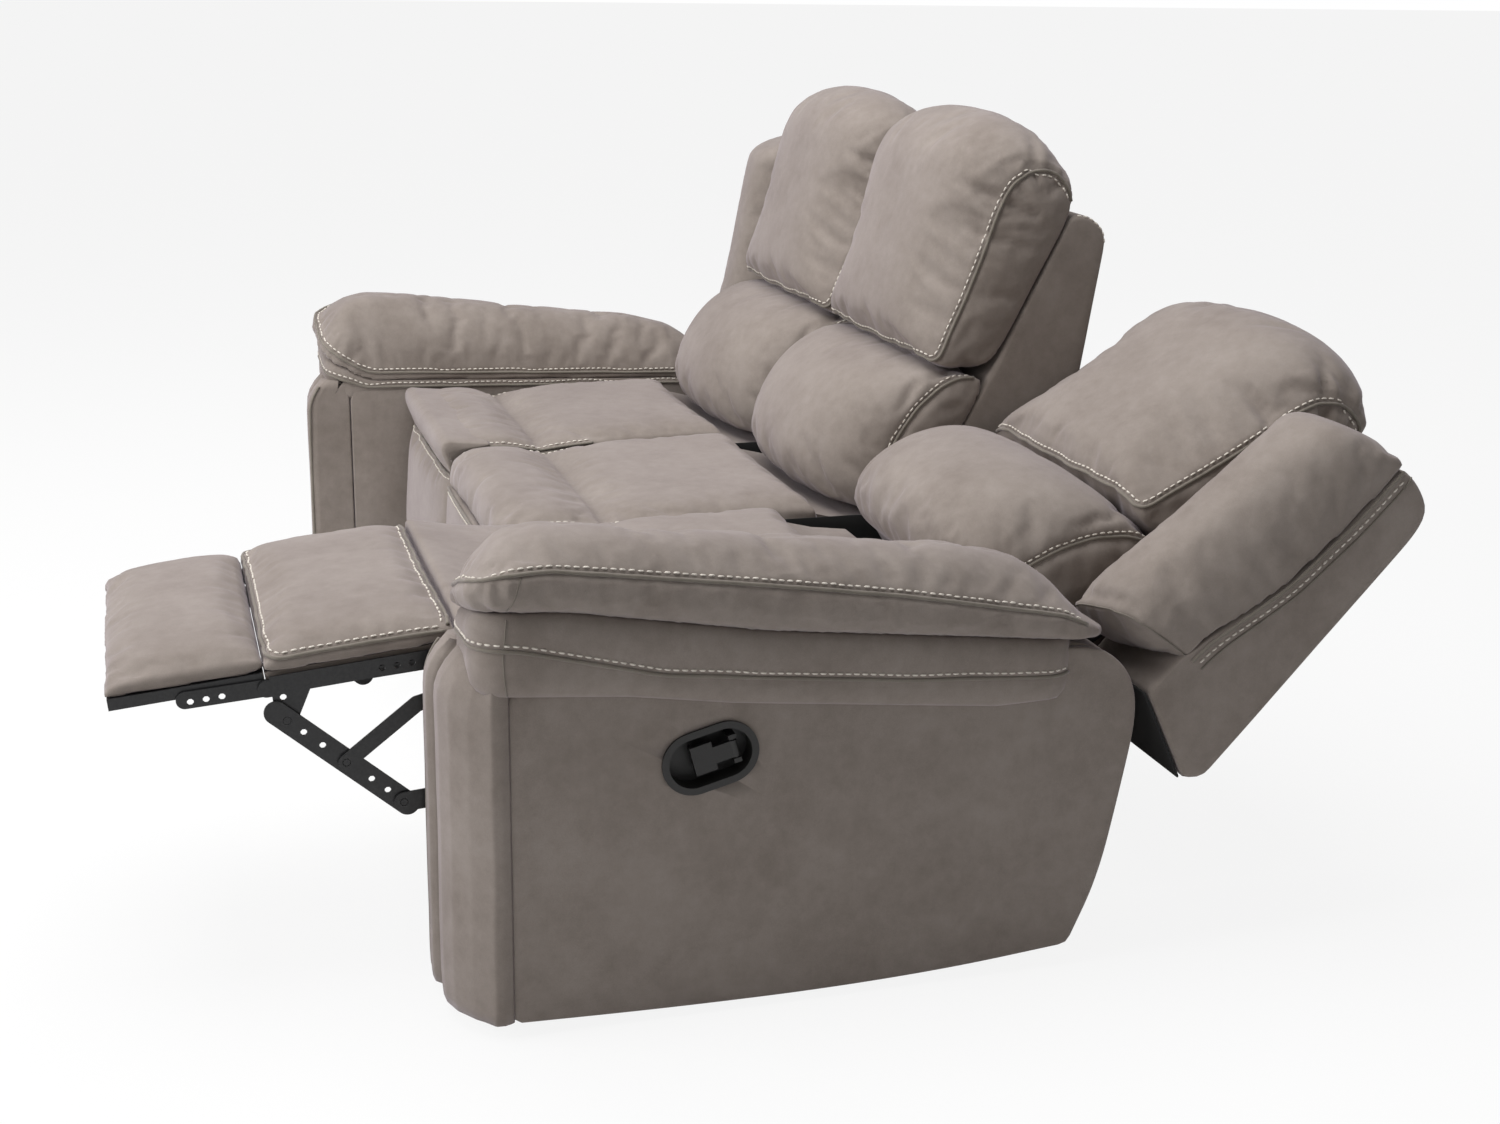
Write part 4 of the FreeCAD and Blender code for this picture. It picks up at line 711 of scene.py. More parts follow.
UPPER_HALF = 251.0
LUMBAR_HALF = 253.0


def make_upper():
    flat = [(936, 684), (1006, 814), (1056, 912)]
    return soft_cushion("upper", UPPER_CROWN, UPPER_SEAM, UPPER_HALF, (3, 13), flat, 13, 262,
                        bulge=7)


def dress_upper(cover):
    kit = Kit(cover)
    half = UPPER_HALF
    lower = [(-half + 22, 800, 668), (half - 22, 800, 668)]
    for sign in (-1, 1):
        press(cover, side_path(UPPER_SEAM, 6, 12, sign * half), puckers=12.0, reach=62,
              spacing=27, wide=8.0, seed=4 + sign, where=(0.1, 0.95))
        press(cover, side_path(UPPER_SEAM, 3, 7, sign * half), puckers=1.6, reach=40,
              spacing=60, wide=14, seed=9)
    up = side_path(UPPER_SEAM, 3, 12, half)
    down = side_path(UPPER_SEAM, 3, 12, -half)[::-1]
    kit.welt(down + lower + up, Vector((0, 800, 880)), passes=10, sink=3.0)
    return kit


def make_lumbar():
    flat = [(712, 444), (812, 444), (880, 568), (922, 648)]
    return soft_cushion("lumbar", LUMBAR_CROWN, LUMBAR_SEAM, LUMBAR_HALF, (2, 11), flat, 12, 263,
                        seed=2, lift=0.5, bulge=6)


def dress_lumbar(cover):
    kit = Kit(cover)
    for sign in (-1, 1):
        path = side_path(LUMBAR_SEAM, 2, 10, sign * LUMBAR_HALF)
        kit.welt(path, Vector((0, 700, 560)), sink=3.0, puckers=1.4, spacing=48, wide=12, seed=3)
    return kit


WING_IN = ARM_IN - SEAT
WING_OUT = ARM_OUT - SEAT
WING_SHELL = [(907, 490, 6), (1034, 432, 8), (1056, 448, 10), (1068, 660, 200), (1074, 886, 30),
              (1064, 916, 22), (1026, 930, 20), (992, 930, 12), (984, 830, 90), (971, 724, 90),
              (940, 636, 90), (909, 548, 20)]
WING_FLAP = [(904, 489), (1030, 431), (1029, 428), (903, 486)]
ROLL_FRONT = [(806, 514), (816, 590), (842, 706), (864, 830), (880, 920), (894, 944)]
ROLL_REAR = [(918, 516), (926, 590), (966, 712), (984, 830), (990, 912), (988, 936)]
ROLL_IN = WING_IN + 1
ROLL_OUT = WING_OUT + 15
ROLL_SLANT = 42.0
ROLL_STATIONS, ROLL_ARC, ROLL_BACK = 44, 48, 14


def make_backs(kits):
    for unit, side, state in (*UNITS, ("middle", 0, SHUT)):
        body = unit + "_back" if side else "root"
        where = placed("back", side, state) if side else FIXED
        for kind in ("upper_cushion", "lumbar_cushion"):
            kits[kind].place(unit, kind, where, body, ["%s_%s" % (unit, kind)], 0.7,
                             mirror=unit != "near")
        half = 254 if side else 253
        shell = Kit(rounded_slab(unit + "_shell", SHELL, -half, half, 9, SUEDE))
        for x in (-half, half):
            shell.welt([(x, 1058, 908), (x, 1084, 906), (x, 1110, 884), (x, 1112, 858)],
                       Vector((0, 1080, 890)), rows=(4.0,), radius=0, sink=0)
        shell.place(unit, "shell", where, body, [unit + "_back_shell"])
        bpy.data.objects.remove(shell.cover)
        if side:
            kits["roll"].place(unit, "wing_roll", where, body, [unit + "_wing_bolster"], 0.8,
                               mirror=side < 0)
            kits["wing"].place(unit, "wing_shell", where, body, mirror=side < 0)
            flap = rounded_slab(unit + "_wing_flap", WING_FLAP, WING_IN + 3, WING_OUT, 1, DUST,
                                soft=0.2, corner=2)
            finish_piece(settle(flap, where @ MIRROR if side < 0 else where), body)


def roll_point(front, rear, angle, swell=1.0):
    """A point of the roll's D-shaped section, from its inner rear edge round the front."""
    sine = max(0.0, math.sin(angle))
    half = (ROLL_OUT - ROLL_IN) / 2 - 10 * (1 - math.sqrt(sine))
    cosine = math.cos(angle)
    p = rear.lerp(front, swell * sine ** 0.62)
    p.x = (ROLL_IN + ROLL_OUT) / 2 - half * math.copysign(abs(cosine) ** 0.72, cosine)
    return p


def make_roll():
    """The wing's stuffed roll: D-shaped sections from its flat lower end to its rounded top."""
    loops = []
    for i in range(ROLL_STATIONS + 1):
        t = i / ROLL_STATIONS
        front, rear = share_point(ROLL_FRONT, t), share_point(ROLL_REAR, t)
        swell = 1 - 0.85 * max(0.0, (t - 0.86) / 0.14) ** 2.4
        row = []
        for k in range(ROLL_ARC):
            p = roll_point(front, rear, math.pi * k / (ROLL_ARC - 1), swell)
            p.z += ROLL_SLANT * max(0.0, 1 - t / 0.3) * (p.x - ROLL_IN) / (ROLL_OUT - ROLL_IN)
            row.append(p)
        first, last = row[0], row[-1]
        row += [last.lerp(first, k / ROLL_BACK) for k in range(1, ROLL_BACK)]
        loops.append(row)
    rim = loops[0]
    centre = sum(rim, Vector()) / len(rim)
    down = Vector((0.25, -0.14, -1)).normalized()
    caps = [[centre + (p - centre) * t + down * 9 * (1 - t * t) for p in rim]
            for t in (0.25, 0.5, 0.75, 0.93)]
    cover = loops_mesh("roll", caps + loops, SUEDE)
    return soften(cover, [rim + rim[:1], roll_edge()], ROLL_REAR, 9)


def roll_edge():
    return [(WING_OUT + 6, p.y, p.z) for p in (share_point(ROLL_REAR, t / 20) for t in range(21))]


def dress_roll(cover):
    kit = Kit(cover)
    front, rear = share_point(ROLL_FRONT, 0), share_point(ROLL_REAR, 0)
    rim = []
    for k in range(41):
        p = roll_point(front, rear, math.pi * k / 40)
        rim.append((p.x, p.y, p.z + ROLL_SLANT * (p.x - ROLL_IN) / (ROLL_OUT - ROLL_IN) - 1))
    kit.welt(rim, rows=(), radius=1.0, sink=1.5, puckers=2.2, spacing=30, seed=6)
    press(cover, roll_edge(), puckers=3.0, reach=50, spacing=46, wide=9, seed=8, where=(0.02, 0.5))
    return kit


def make_wing():
    shell = rounded_slab("wing", WING_SHELL, WING_IN + 1, WING_OUT + 5, 8, SUEDE)
    kit = Kit(shell)
    path = [(WING_OUT + 9, p[1] + 4, p[2]) for p in roll_edge()[2:]]
    kit.welt(path, Vector((WING_OUT, -9000, 700)), rows=(-10.0,), radius=2.8, sink=0)
    kit.welt([(x, y + 19, z) for x, y, z in path], rows=(), radius=1.6, sink=0)
    return kit


# Seats

SEAT_CROWN = [(152, 416), (150, 438), (160, 458), (190, 470), (235, 470), (282, 461), (304, 455),
              (328, 460), (400, 467), (520, 470), (622, 470), (646, 458), (648, 400), (640, 354),
              (500, 354), (330, 354), (313, 366), (312, 388), (280, 398), (205, 398), (196, 412)]
SEAT_SEAM = [(156, 416), (154, 434), (162, 448), (190, 458), (235, 458), (282, 451), (304, 447),
             (328, 450), (400, 456), (520, 459), (620, 459), (640, 450), (644, 400), (638, 356),
             (500, 356), (330, 356), (313, 367), (312, 388), (280, 398), (205, 398), (196, 412)]
SEAT_HALF = 243.0
DECK_HALF = 238.0
MIDDLE_HALF = 259.0
MIDDLE_CROWN = [(136, 399), (134, 430), (146, 456), (180, 470)] + SEAT_CROWN[4:15] \
    + [(200, 356), (184, 368), (183, 390), (170, 399)]
MIDDLE_SEAM = [(140, 399), (139, 428), (150, 447), (180, 458)] + SEAT_SEAM[4:15] \
    + [(200, 357), (185, 368), (184, 390), (172, 399)]
FRONT_CROWN = [(132, 396), (124, 340), (120, 230), (124, 110), (132, 72), (148, 72), (155, 110),
               (155, 230), (155, 360), (150, 396)]
FRONT_SEAM = [(136, 394), (130, 340), (128, 230), (130, 110), (136, 76), (148, 74), (155, 110),
              (155, 230), (155, 360), (150, 394)]
MIDDLE_SIDE = [(158, 300), (158, 398), (316, 400), (330, 446), (646, 446), (700, 446),
               (800, 440), (806, 235), (700, 232), (260, 232)]
DECK = [(640, 446), (700, 431), (758, 424), (758, 421), (700, 427), (640, 441)]


def channel(half):
    """The sewn line across a seat."""
    return [(-half, 304, 456), (half, 304, 456)]


def make_seat_cover(name, crown, seam, half, seed):
    flat = [(648, 400), (640, 356), (330, 356), (312, 366), (312, 390), (200, 398), (155, 412)]
    return soft_cushion(name, crown, seam, half, (1, 11), flat, 9, half + 4, [channel(half)],
                        count=150, seed=seed, power=5.0, bulge=4)


def dress_seat(cover, seam, half):
    kit = Kit(cover)
    press(cover, channel(half), width=14, depth=5, puckers=1.6,
          reach=40, spacing=52, wide=14, seed=5)
    for sign in (-1, 1):
        kit.welt(side_path(seam, 1, 8, sign * half), Vector((0, 300, 460)), sink=2.0,
                 puckers=1.2, spacing=60, wide=14, seed=4)
    return kit


def make_seats(kits):
    for unit, side, state in UNITS:
        kits["seat"].place(unit, "seat", placed("carriage", side, state), unit + "_carriage",
                           [unit + "_seat_cushion"], 0.7, mirror=side < 0)
    kits["middle_seat"].place("middle", "seat", FIXED, "root", ["middle_seat_cushion"], 0.7)
    front = Kit(cushion("front", FRONT_CROWN, FRONT_SEAM, MIDDLE_HALF, seed=9, power=4.0, bulge=2))
    front.welt([(-MIDDLE_HALF, 128, 398), (MIDDLE_HALF, 128, 398)], Vector((0, 100, 200)),
               rows=(7.0,), sink=0)
    front.place("middle", "front", FIXED, "root", ["middle_front_panel"], 0.4)
    bpy.data.objects.remove(front.cover)
    for unit, side, state in (*UNITS, ("middle", 0, SHUT)):
        deck = rounded_slab(unit + "_deck", DECK, -DECK_HALF, DECK_HALF, 1, SUEDE, soft=0.2, corner=2)
        where = placed("carriage", side, state) if side else FIXED
        finish_piece(settle(deck, where), unit + "_carriage" if side else "root")
    for sign in (-1, 1):
        side = rounded_slab("middle_%s_side" % ("far", "near")[sign > 0], MIDDLE_SIDE,
                            sign * 262.6, sign * 264.2, 0.4, DUST, soft=0.1, corner=12)
        finish_piece(settle(side, FIXED), "root")

# Footrests


PAD_HALF = 249.0
FLIP_HALF = 240.0
WRAP_HALF = 241.0
CHAISE_HALF = 244.0
PAD_LOW = 15.3
OTTOMAN_SEAM = 34
OTTOMAN_RUN = (0.5, MAIN_RUN + 1.4)
OTTOMAN_WRAP = (0.5, MAIN_RUN + 1.5)
FLIP_WRAP = (FLIP_START - 1.5, FLIP_START + FLIP_RUN - 0.5)
FLIP_PAD_RUN = (FLIP_START - 1.4, FLIP_START + FLIP_RUN)
OTTOMAN_TOP = [(0.0, 0.72), (0.06, 0.9), (0.2, 1.0), (0.5, 1.03), (0.8, 1.0), (0.94, 0.86), (1.0, 0.62)]
FLIP_TOP = [(0.0, 0.68), (0.05, 0.88), (0.2, 1.0), (0.5, 1.02), (0.78, 0.97), (0.93, 0.8), (1.0, 0.5)]


def pad_outline(run, height, top):
    """Outline of a footrest pad from its board up to height."""
    first, last = run
    line = [footrest_point(first + (last - first) * a, PAD_LOW + (height - PAD_LOW) * b)
            for a, b in top]
    under = ((last - 1, PAD_LOW + 2), (last - 12, PAD_LOW), (first + 12, PAD_LOW),
             (first + 1, PAD_LOW + 2))
    return line + [footrest_point(*p) for p in under]


def make_rest_cover(name, run, crown, seam, half, top, seed):
    flat = [footrest_point(end, 16) for end in run]
    return soft_cushion(name, pad_outline(run, crown, top), pad_outline(run, seam, top), half,
                        (0, 6), flat, 7, half + 4, count=90, seed=seed, power=3.2, bulge=4)


def dress_ottoman(cover):
    kit = Kit(cover)
    inner = pad_outline(OTTOMAN_RUN, OTTOMAN_SEAM, OTTOMAN_TOP)
    up = side_path(inner, 1, 5, PAD_HALF)
    down = side_path(inner, 1, 5, -PAD_HALF)[::-1]
    edge = footrest_point(MAIN_RUN + 6, 40)
    rear = footrest_point(-6, 60)
    low = Vector((0, *footrest_point(MAIN_RUN / 2, 90)))
    kit.welt(up + [(PAD_HALF - 26, *edge), (26 - PAD_HALF, *edge)] + down, low, sink=2.5,
             puckers=1.6, spacing=46, wide=10, seed=12)
    kit.welt([(-PAD_HALF, *rear), (PAD_HALF, *rear)], low, rows=(8.0,), sink=1.5, puckers=1.4,
             spacing=50, wide=12, seed=13)
    return kit


def dress_flip(cover):
    kit = Kit(cover)
    edge = footrest_point(FLIP_START, 44)
    press(cover, [(-FLIP_HALF, *edge), (FLIP_HALF, *edge)], puckers=1.6, reach=40, spacing=50,
          wide=12, seed=15)
    return kit


def make_footrests(kits):
    for unit, side, state in UNITS:
        kits["ottoman"].place(unit, "ottoman", placed("footrest", side, state),
                              unit + "_footrest", [unit + "_ottoman_pad"], 0.7, mirror=side < 0)
        kits["flip"].place(unit, "flip_pad", placed("flip", side, state), unit + "_flip",
                           [unit + "_flip_pad"], 0.7, mirror=side < 0)
        for body, kind, nodes, (first, last) in (
                ("footrest", "_ottoman_board", [unit + "_ottoman_board"], OTTOMAN_WRAP),
                ("flip", "_flip_board", (), FLIP_WRAP)):
            corners = [footrest_point(*p) for p in ((first, 0.2), (first, 15), (last, 15), (last, 0.2))]
            board = rounded_slab(unit + kind + "_wrap", corners, -WRAP_HALF, WRAP_HALF, 3, SUEDE,
                                 soft=0.3, corner=4)
            finish_piece(settle(board, placed(body, side, state)), unit + "_" + body, nodes)


def make_chaises():
    """The soft bridge from the footrest's top seam to the seat cushion."""
    crown = [footrest_point(-0.5, 6), footrest_point(-0.5, 30), footrest_point(-4, 50),
             (90, 488), (120, 482), (150, 477), (180, 474), (212, 470), (208, 464), (170, 452),
             (151, 438), (149, 424), (112, 428)]
    seam = [footrest_point(-0.5, 6), footrest_point(-0.5, 26), footrest_point(-4, 42),
            (90, 477), (120, 471), (150, 467), (180, 464), (212, 461), (208, 458), (170, 448),
            (151, 436), (149, 424), (112, 428)]
    for unit, side, state in UNITS:
        piece = cushion(unit + "_chaise_cover", crown, seam, CHAISE_HALF, count=80, seed=14, power=5.0)
        if state == SHUT:
            fold_chaise(piece)
        carriage = placed("carriage", side, state)
        finish_piece(settle(piece, carriage), None, [unit + "_chaise_pad"])
        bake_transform(piece)


def fold_chaise(obj):
    for vertex in obj.data.vertices:
        t = min(1.0, max(0.0, (152 - vertex.co.y) / 82))
        share = t * t * (3 - 2 * t)
        vertex.co = about(POLE, FOLD * share) @ vertex.co


# Arms

Z_SEAM = [(-60, 452), (20, 452), (165, 440), (297, 420), (642, 384), (730, 386), (791, 420)]
Z_WELT2 = [(-60, 516), (29, 511), (207, 466), (515, 433), (744, 418), (791, 432)]
Z_FOLD = [(-60, 560), (89, 551), (340, 508), (735, 465), (791, 460)]
Z_WELT1 = [(-60, 600), (65, 610), (348, 571), (511, 546), (735, 503), (791, 470)]
Z_TOP = [(-16, 600), (4, 618), (30, 633), (73, 643), (159, 636), (374, 608), (599, 583),
         (687, 560), (731, 533), (770, 492), (791, 470)]
IN_SEAM = [(-30, 452), (60, 449), (740, 438)]
IN_WELT2 = [(-30, 498), (60, 470), (740, 452)]
IN_FOLD = [(-30, 524), (60, 482), (740, 460)]
IN_WELT1 = [(-30, 550), (60, 498), (740, 472)]
SEAM_LINE, WELT2_LINE = (Z_SEAM, IN_SEAM), (Z_WELT2, IN_WELT2)
FOLD_LINE, WELT1_LINE = (Z_FOLD, IN_FOLD), (Z_WELT1, IN_WELT1)
BAND_REAR, PAD_REAR = 752, 785
BAND_LEVELS = [(part, out, SEAM_LINE, WELT2_LINE) for part, out in (
    (0.0, -2), (0.0, 7), (0.15, 12), (0.45, 15), (0.75, 15), (0.95, 13.5), (1.0, 13.5))]
BAND_LEVELS += [(part, out, WELT2_LINE, FOLD_LINE) for part, out in (
    (0.08, 15.5), (0.3, 16), (0.55, 15.5), (0.8, 12), (0.95, 6), (1.0, 1))]
PAD_LEVELS = [(part, out, FOLD_LINE, WELT1_LINE) for part, out in (
    (0.0, 1), (0.04, 11), (0.2, 22), (0.45, 28), (0.75, 28), (1.0, 24))]
ARM_ROUND = 34
ARM_COUNT = 150


def level(line, x, y):
    """Height of a seam round the arm: its outer line on the outer face, its inner one within."""
    share = min(1.0, max(0.0, (ARM_OUT - x) / (ARM_OUT - ARM_IN)))
    return line_at(line[0], y) * (1 - share) + line_at(line[1], y) * share


def side_share(nx, ny):
    """How much of a roll's bulge each side gets: little towards the seat."""
    if nx < -0.3:
        return 0.12
    if ny < -0.5:
        return 0.8
    if ny > 0.5:
        return 0.3
    return 1.0


def arm_ring(rear):
    """The arm's rounded plan: (x, y, outward normal) of each point, and its share of a bulge."""
    x0, x1, y0, y1 = ARM_IN + 1 + ARM_ROUND, ARM_OUT - ARM_ROUND, ARM_ROUND - 10, rear - ARM_ROUND
    corners = []
    for x, y, start in ((x1, y0, -90), (x1, y1, 0), (x0, y1, 90), (x0, y0, 180)):
        for k in range(9):
            q = math.radians(start + k * 90 / 8)
            corners.append((x + ARM_ROUND * math.cos(q), y + ARM_ROUND * math.sin(q)))
    plan = even_loop(corners, ARM_COUNT)
    ring = []
    for i, (x, y) in enumerate(plan):
        (xa, ya), (xb, yb) = plan[i - 1], plan[(i + 1) % ARM_COUNT]
        size = math.dist((xa, ya), (xb, yb))
        ring.append((x, y, (yb - ya) / size, (xa - xb) / size))
    shares = [side_share(nx, ny) for _, _, nx, ny in ring]
    for _ in range(6):
        shares = [(shares[i - 1] + 2 * shares[i] + shares[(i + 1) % ARM_COUNT]) / 4
                  for i in range(ARM_COUNT)]
    return ring, shares


def arm_levels(name, levels, rear, close_top=False):
    ring, shares = arm_ring(rear)
    loops = []
    for part, offset, low, high in levels:
        row = []
        for (x, y, nx, ny), share in zip(ring, shares):
            z0, z1 = level(low, x, y), level(high, x, y)
            off = offset * share + 1.6 * ripple((x, y, part * 60), 80, 4) * (part > 0)
            row.append(Vector((x + nx * off, y + ny * off, z0 + (z1 - z0) * part)))
        loops.append(row)
    if close_top:
        rim = loops[-1]
        for q in (0.1, 0.22, 0.36, 0.5, 0.66, 0.82, 0.95):
            row = []
            for p in rim:
                spine = Vector(((ARM_IN + ARM_OUT) / 2 + 6, min(max(p.y, 50), 700), 0))
                flat = Vector((p.x, p.y, 0)).lerp(spine, q)
                top = line_at(Z_TOP, flat.y) - 8
                rise = math.sin(math.pi / 2 * min(1.0, q * 1.15)) ** 0.7
                row.append(Vector((flat.x, flat.y, p.z + (top - p.z) * rise
                                   + 1.5 * ripple((flat.x, flat.y, 0), 90, 6))))
            loops.append(row)
    return loops_mesh(name, loops, SUEDE)


def arm_path(line, offset, rear, until):
    """A seam's path round the arm, from the outer rear end over the front to the inner side."""
    ring, shares = arm_ring(rear)
    path = [(x + nx * offset * share, y + ny * offset * share, level(line, x, y))
            for (x, y, nx, ny), share in zip(ring, shares)]
    outer = sorted((p for p, r in zip(path, ring) if r[2] > 0.5 and r[1] < until), key=lambda p: -p[1])
    front = sorted((p for p, r in zip(path, ring) if r[3] < -0.5 and abs(r[2]) <= 0.5),
                   key=lambda p: -p[0])
    inner = sorted((p for p, r in zip(path, ring) if r[2] < -0.5 and r[1] < until), key=lambda p: p[1])
    return outer + front + inner


MITRE = ((ARM_OUT + 26, 34, 606), (ARM_OUT + 32, 26, 580), (ARM_OUT + 18, 18, 556),
         (ARM_OUT + 16, 12, 505), (ARM_OUT + 8, 18, 452))
ARM_PANEL = [(22, 19, 5), (210, 13, 90), (417, 11, 90), (600, 17, 90), (768, 32, 10),
             (808, 124, 80), (832, 250, 80), (849, 352, 60), (836, 410, 50), (791, 450, 40),
             (700, 452, 20), (22, 452, 6)]
ABOVE_ARM = Vector((880, 390, 9000))
NO_FLAT = [(-400, 0), (-399, 0)]
ARM_CASE = [(24, 20, 5), (417, 14, 90), (768, 34, 10), (808, 126, 80), (848, 352, 60),
            (834, 410, 50), (789, 450, 40), (700, 462, 20), (24, 462, 8)]


def make_pad():
    cover = arm_levels("pad", PAD_LEVELS, PAD_REAR, close_top=True)
    path = arm_path(WELT1_LINE, 24, PAD_REAR, 760)
    base = arm_path(FOLD_LINE, 10, PAD_REAR, 760)
    return soften(cover, [path, base], NO_FLAT, 8)


def dress_pad(cover):
    kit = Kit(cover)
    path = arm_path(WELT1_LINE, 24, PAD_REAR, 758)
    press(cover, path, puckers=5.5, reach=40, spacing=22, wide=7, seed=21, where=(0.43, 0.58))
    kit.welt(path, ABOVE_ARM, sink=3.0, puckers=1.3, spacing=60, wide=14, seed=20)
    kit.welt(MITRE[:3], rows=(), radius=0.9, sink=2.0, passes=2)
    return kit


def dress_band(cover):
    kit = Kit(cover)
    kit.welt(arm_path(WELT2_LINE, 12, BAND_REAR, 742), ABOVE_ARM, sink=0)
    kit.welt(MITRE[2:], rows=(), radius=0.9, sink=0, passes=2)
    return kit


PANEL_THICK = 11


def make_panel():
    """The arm's flat outer panel with soft rims, a little fuller at its middle."""
    ring = rounded(ARM_PANEL, 220)
    middle = sum(ring, Vector()) / len(ring)
    loops = []
    for t, depth in ((1.0, PANEL_THICK), (1.0, 3.0), (0.997, 1.0), (0.985, 0.0)):
        loops.append([Vector((ARM_OUT - depth, 0, 0)) + middle + (p - middle) * t for p in ring])
    for t in (0.95, 0.88, 0.78, 0.66, 0.52, 0.38, 0.22, 0.08):
        row = []
        for p in ring:
            q = middle + (p - middle) * t
            q.x = ARM_OUT + 1.6 * (1 - t) + 1.2 * ripple(q, 160, 3)
            row.append(q)
        loops.append(row)
    return loops_mesh("panel", loops, SUEDE)


def make_arms(kits):
    panel = make_panel()
    cut_handle_opening(panel)
    front = Kit(front_panel())
    front.welt([(ARM_IN + 1, -40, 478), (ARM_IN + 1, -56, 430), (ARM_IN + 1, -64, 300),
                (ARM_IN + 1, -62, 30)], rows=(), radius=2.6, sink=0, passes=3)
    case = rounded_slab("case", ARM_CASE, ARM_IN - 1.2, ARM_OUT - PANEL_THICK, 3, SUEDE, soft=0.6)
    cut_handle_opening(case)
    for unit, side, _ in UNITS:
        for kit, kind, node, fill in (
                (kits["band"], "arm_band", "_arm_band", 0.6),
                (kits["pad"], "arm_pad", "_arm_top_pad", 0.7),
                (Kit(panel), "arm_panel", "_arm_outer_panel", None),
                (front, "arm_front", "_arm_front_panel", 0.4),
                (Kit(case), "arm_case", "_arm_frame", None)):
            kit.place(unit, kind, FIXED, "root", [unit + node], fill, mirror=side < 0)
    for source in (panel, front.cover, case):
        bpy.data.objects.remove(source)


FRONT_LOW, FRONT_HIGH = 20.0, 484.0


def front_panel():
    plan = [(ARM_IN, 22), (ARM_IN, -44), (ARM_IN + 3, -54), (ARM_IN + 14, -59), (ARM_IN + 34, -58),
            (ARM_IN + 43, -50), (ARM_IN + 46, -42), (ARM_IN + 52, -45), (ARM_IN + 68, -53),
            (ARM_IN + 92, -52), (ARM_IN + 120, -43), (ARM_IN + 148, -24), (ARM_OUT + 2, 0),
            (ARM_OUT + 3, 12), (ARM_OUT - 3, 22)]
    ring = even_loop(plan, 140)
    loops = []
    for k in range(31):
        z = FRONT_LOW + (FRONT_HIGH - FRONT_LOW) * k / 30
        end = min(k, 30 - k)
        inset = (3.0, 1.2, 0.3)[end] if end < 3 else 0
        inset += 26 * max(0.0, (z - 425) / (FRONT_HIGH - 425)) ** 2
        row = []
        for x, y in ring:
            lean = 0 if y > 15 else 1.4 * ripple((x, y, z), 90, 8) - 2.0 * (1 - k / 30)
            y = min(22, y + lean) + inset * min(1.0, max(0.0, -y / 15))
            row.append(Vector((x, min(22, y), z)))
        loops.append(row)
    return loops_mesh("front", loops, SUEDE)


HANDLE_AT = (269, 349)
HANDLE_TILT = 15
HANDLE_HALF, HANDLE_REACH = 35.5, 21.5


def cut_handle_opening(panel):
    """Cuts the capsule-shaped hole that the handle's tray sits in."""
    tilt = math.radians(HANDLE_TILT)
    capsule = []
    for sign, start in ((1, -90), (-1, 90)):
        for k in range(25):
            q = math.radians(start + 7.5 * k)
            a, b = sign * HANDLE_REACH + HANDLE_HALF * math.cos(q), HANDLE_HALF * math.sin(q)
            capsule.append((HANDLE_AT[0] + a * math.cos(tilt) - b * math.sin(tilt),
                            HANDLE_AT[1] + a * math.sin(tilt) + b * math.cos(tilt)))
    loops = [[Vector((x, *p)) for p in capsule] for x in (ARM_OUT - 30, ARM_OUT + 30)]
    cutter = loops_mesh("cutter", loops, SUEDE)
    mod = panel.modifiers.new("opening", "BOOLEAN")
    mod.operation = "DIFFERENCE"
    mod.solver = "EXACT"
    mod.object = cutter
    apply_modifiers(panel)
    bpy.data.objects.remove(cutter)


def apply_modifiers(obj):
    graph = bpy.context.evaluated_depsgraph_get()
    mesh = bpy.data.meshes.new_from_object(obj.evaluated_get(graph))
    obj.modifiers.clear()
    obj.data = mesh


# Camera, light, floor


CAMERA_AT = (3.225, -0.815, 1.288)
CAMERA_YAW, CAMERA_PITCH, CAMERA_ROLL = 16.9, 16.35, 0.9
SENSOR = 36.0
FOCAL_PIXELS, FRAME_PIXELS = 2050, 1500
FLOOR = 60.0
LAMPS = (("key", (0.4, -4.2, 2.4), (0.0, 0, 0.5), 2.6, 125),
         ("fill", (4.6, 0.6, 2.0), (0.4, 0, 0.5), 3.0, 6),
         ("top", (0.0, -0.5, 3.6), (0, 0, 0.4), 3.0, 122))


def make_camera():
    yaw, pitch, roll = (math.radians(a) for a in (CAMERA_YAW, CAMERA_PITCH, CAMERA_ROLL))
    ahead = Vector((-math.cos(yaw) * math.cos(pitch), math.sin(yaw) * math.cos(pitch), -math.sin(pitch)))
    right = Vector((math.sin(yaw), math.cos(yaw), 0))
    up = right.cross(ahead)
    right, up = (right * math.cos(roll) + up * math.sin(roll),
                 up * math.cos(roll) - right * math.sin(roll))
    data = bpy.data.cameras.new("camera")
    data.sensor_width = SENSOR
    data.lens = SENSOR * FOCAL_PIXELS / FRAME_PIXELS
    camera = add_object("camera", data)
    basis = Matrix((right, up, -ahead)).transposed().to_4x4()
    camera.matrix_world = Matrix.Translation(CAMERA_AT) @ basis
    bpy.context.scene.camera = camera


def make_lamps():
    for name, place, target, size, power in LAMPS:
        data = bpy.data.lights.new(name, "AREA")
        data.energy = power
        data.size = size
        light = add_object(name, data)
        light.location = place
        aim = Vector(target) - Vector(place)
        light.rotation_euler = aim.to_track_quat("-Z", "Y").to_euler()


def mix_shaders(nodes, links, factor, first, second):
    mix = nodes.new("ShaderNodeMixShader")
    links.new(factor, mix.inputs["Fac"])
    links.new(first, mix.inputs[1])
    links.new(second, mix.inputs[2])
    return mix.outputs["Shader"]


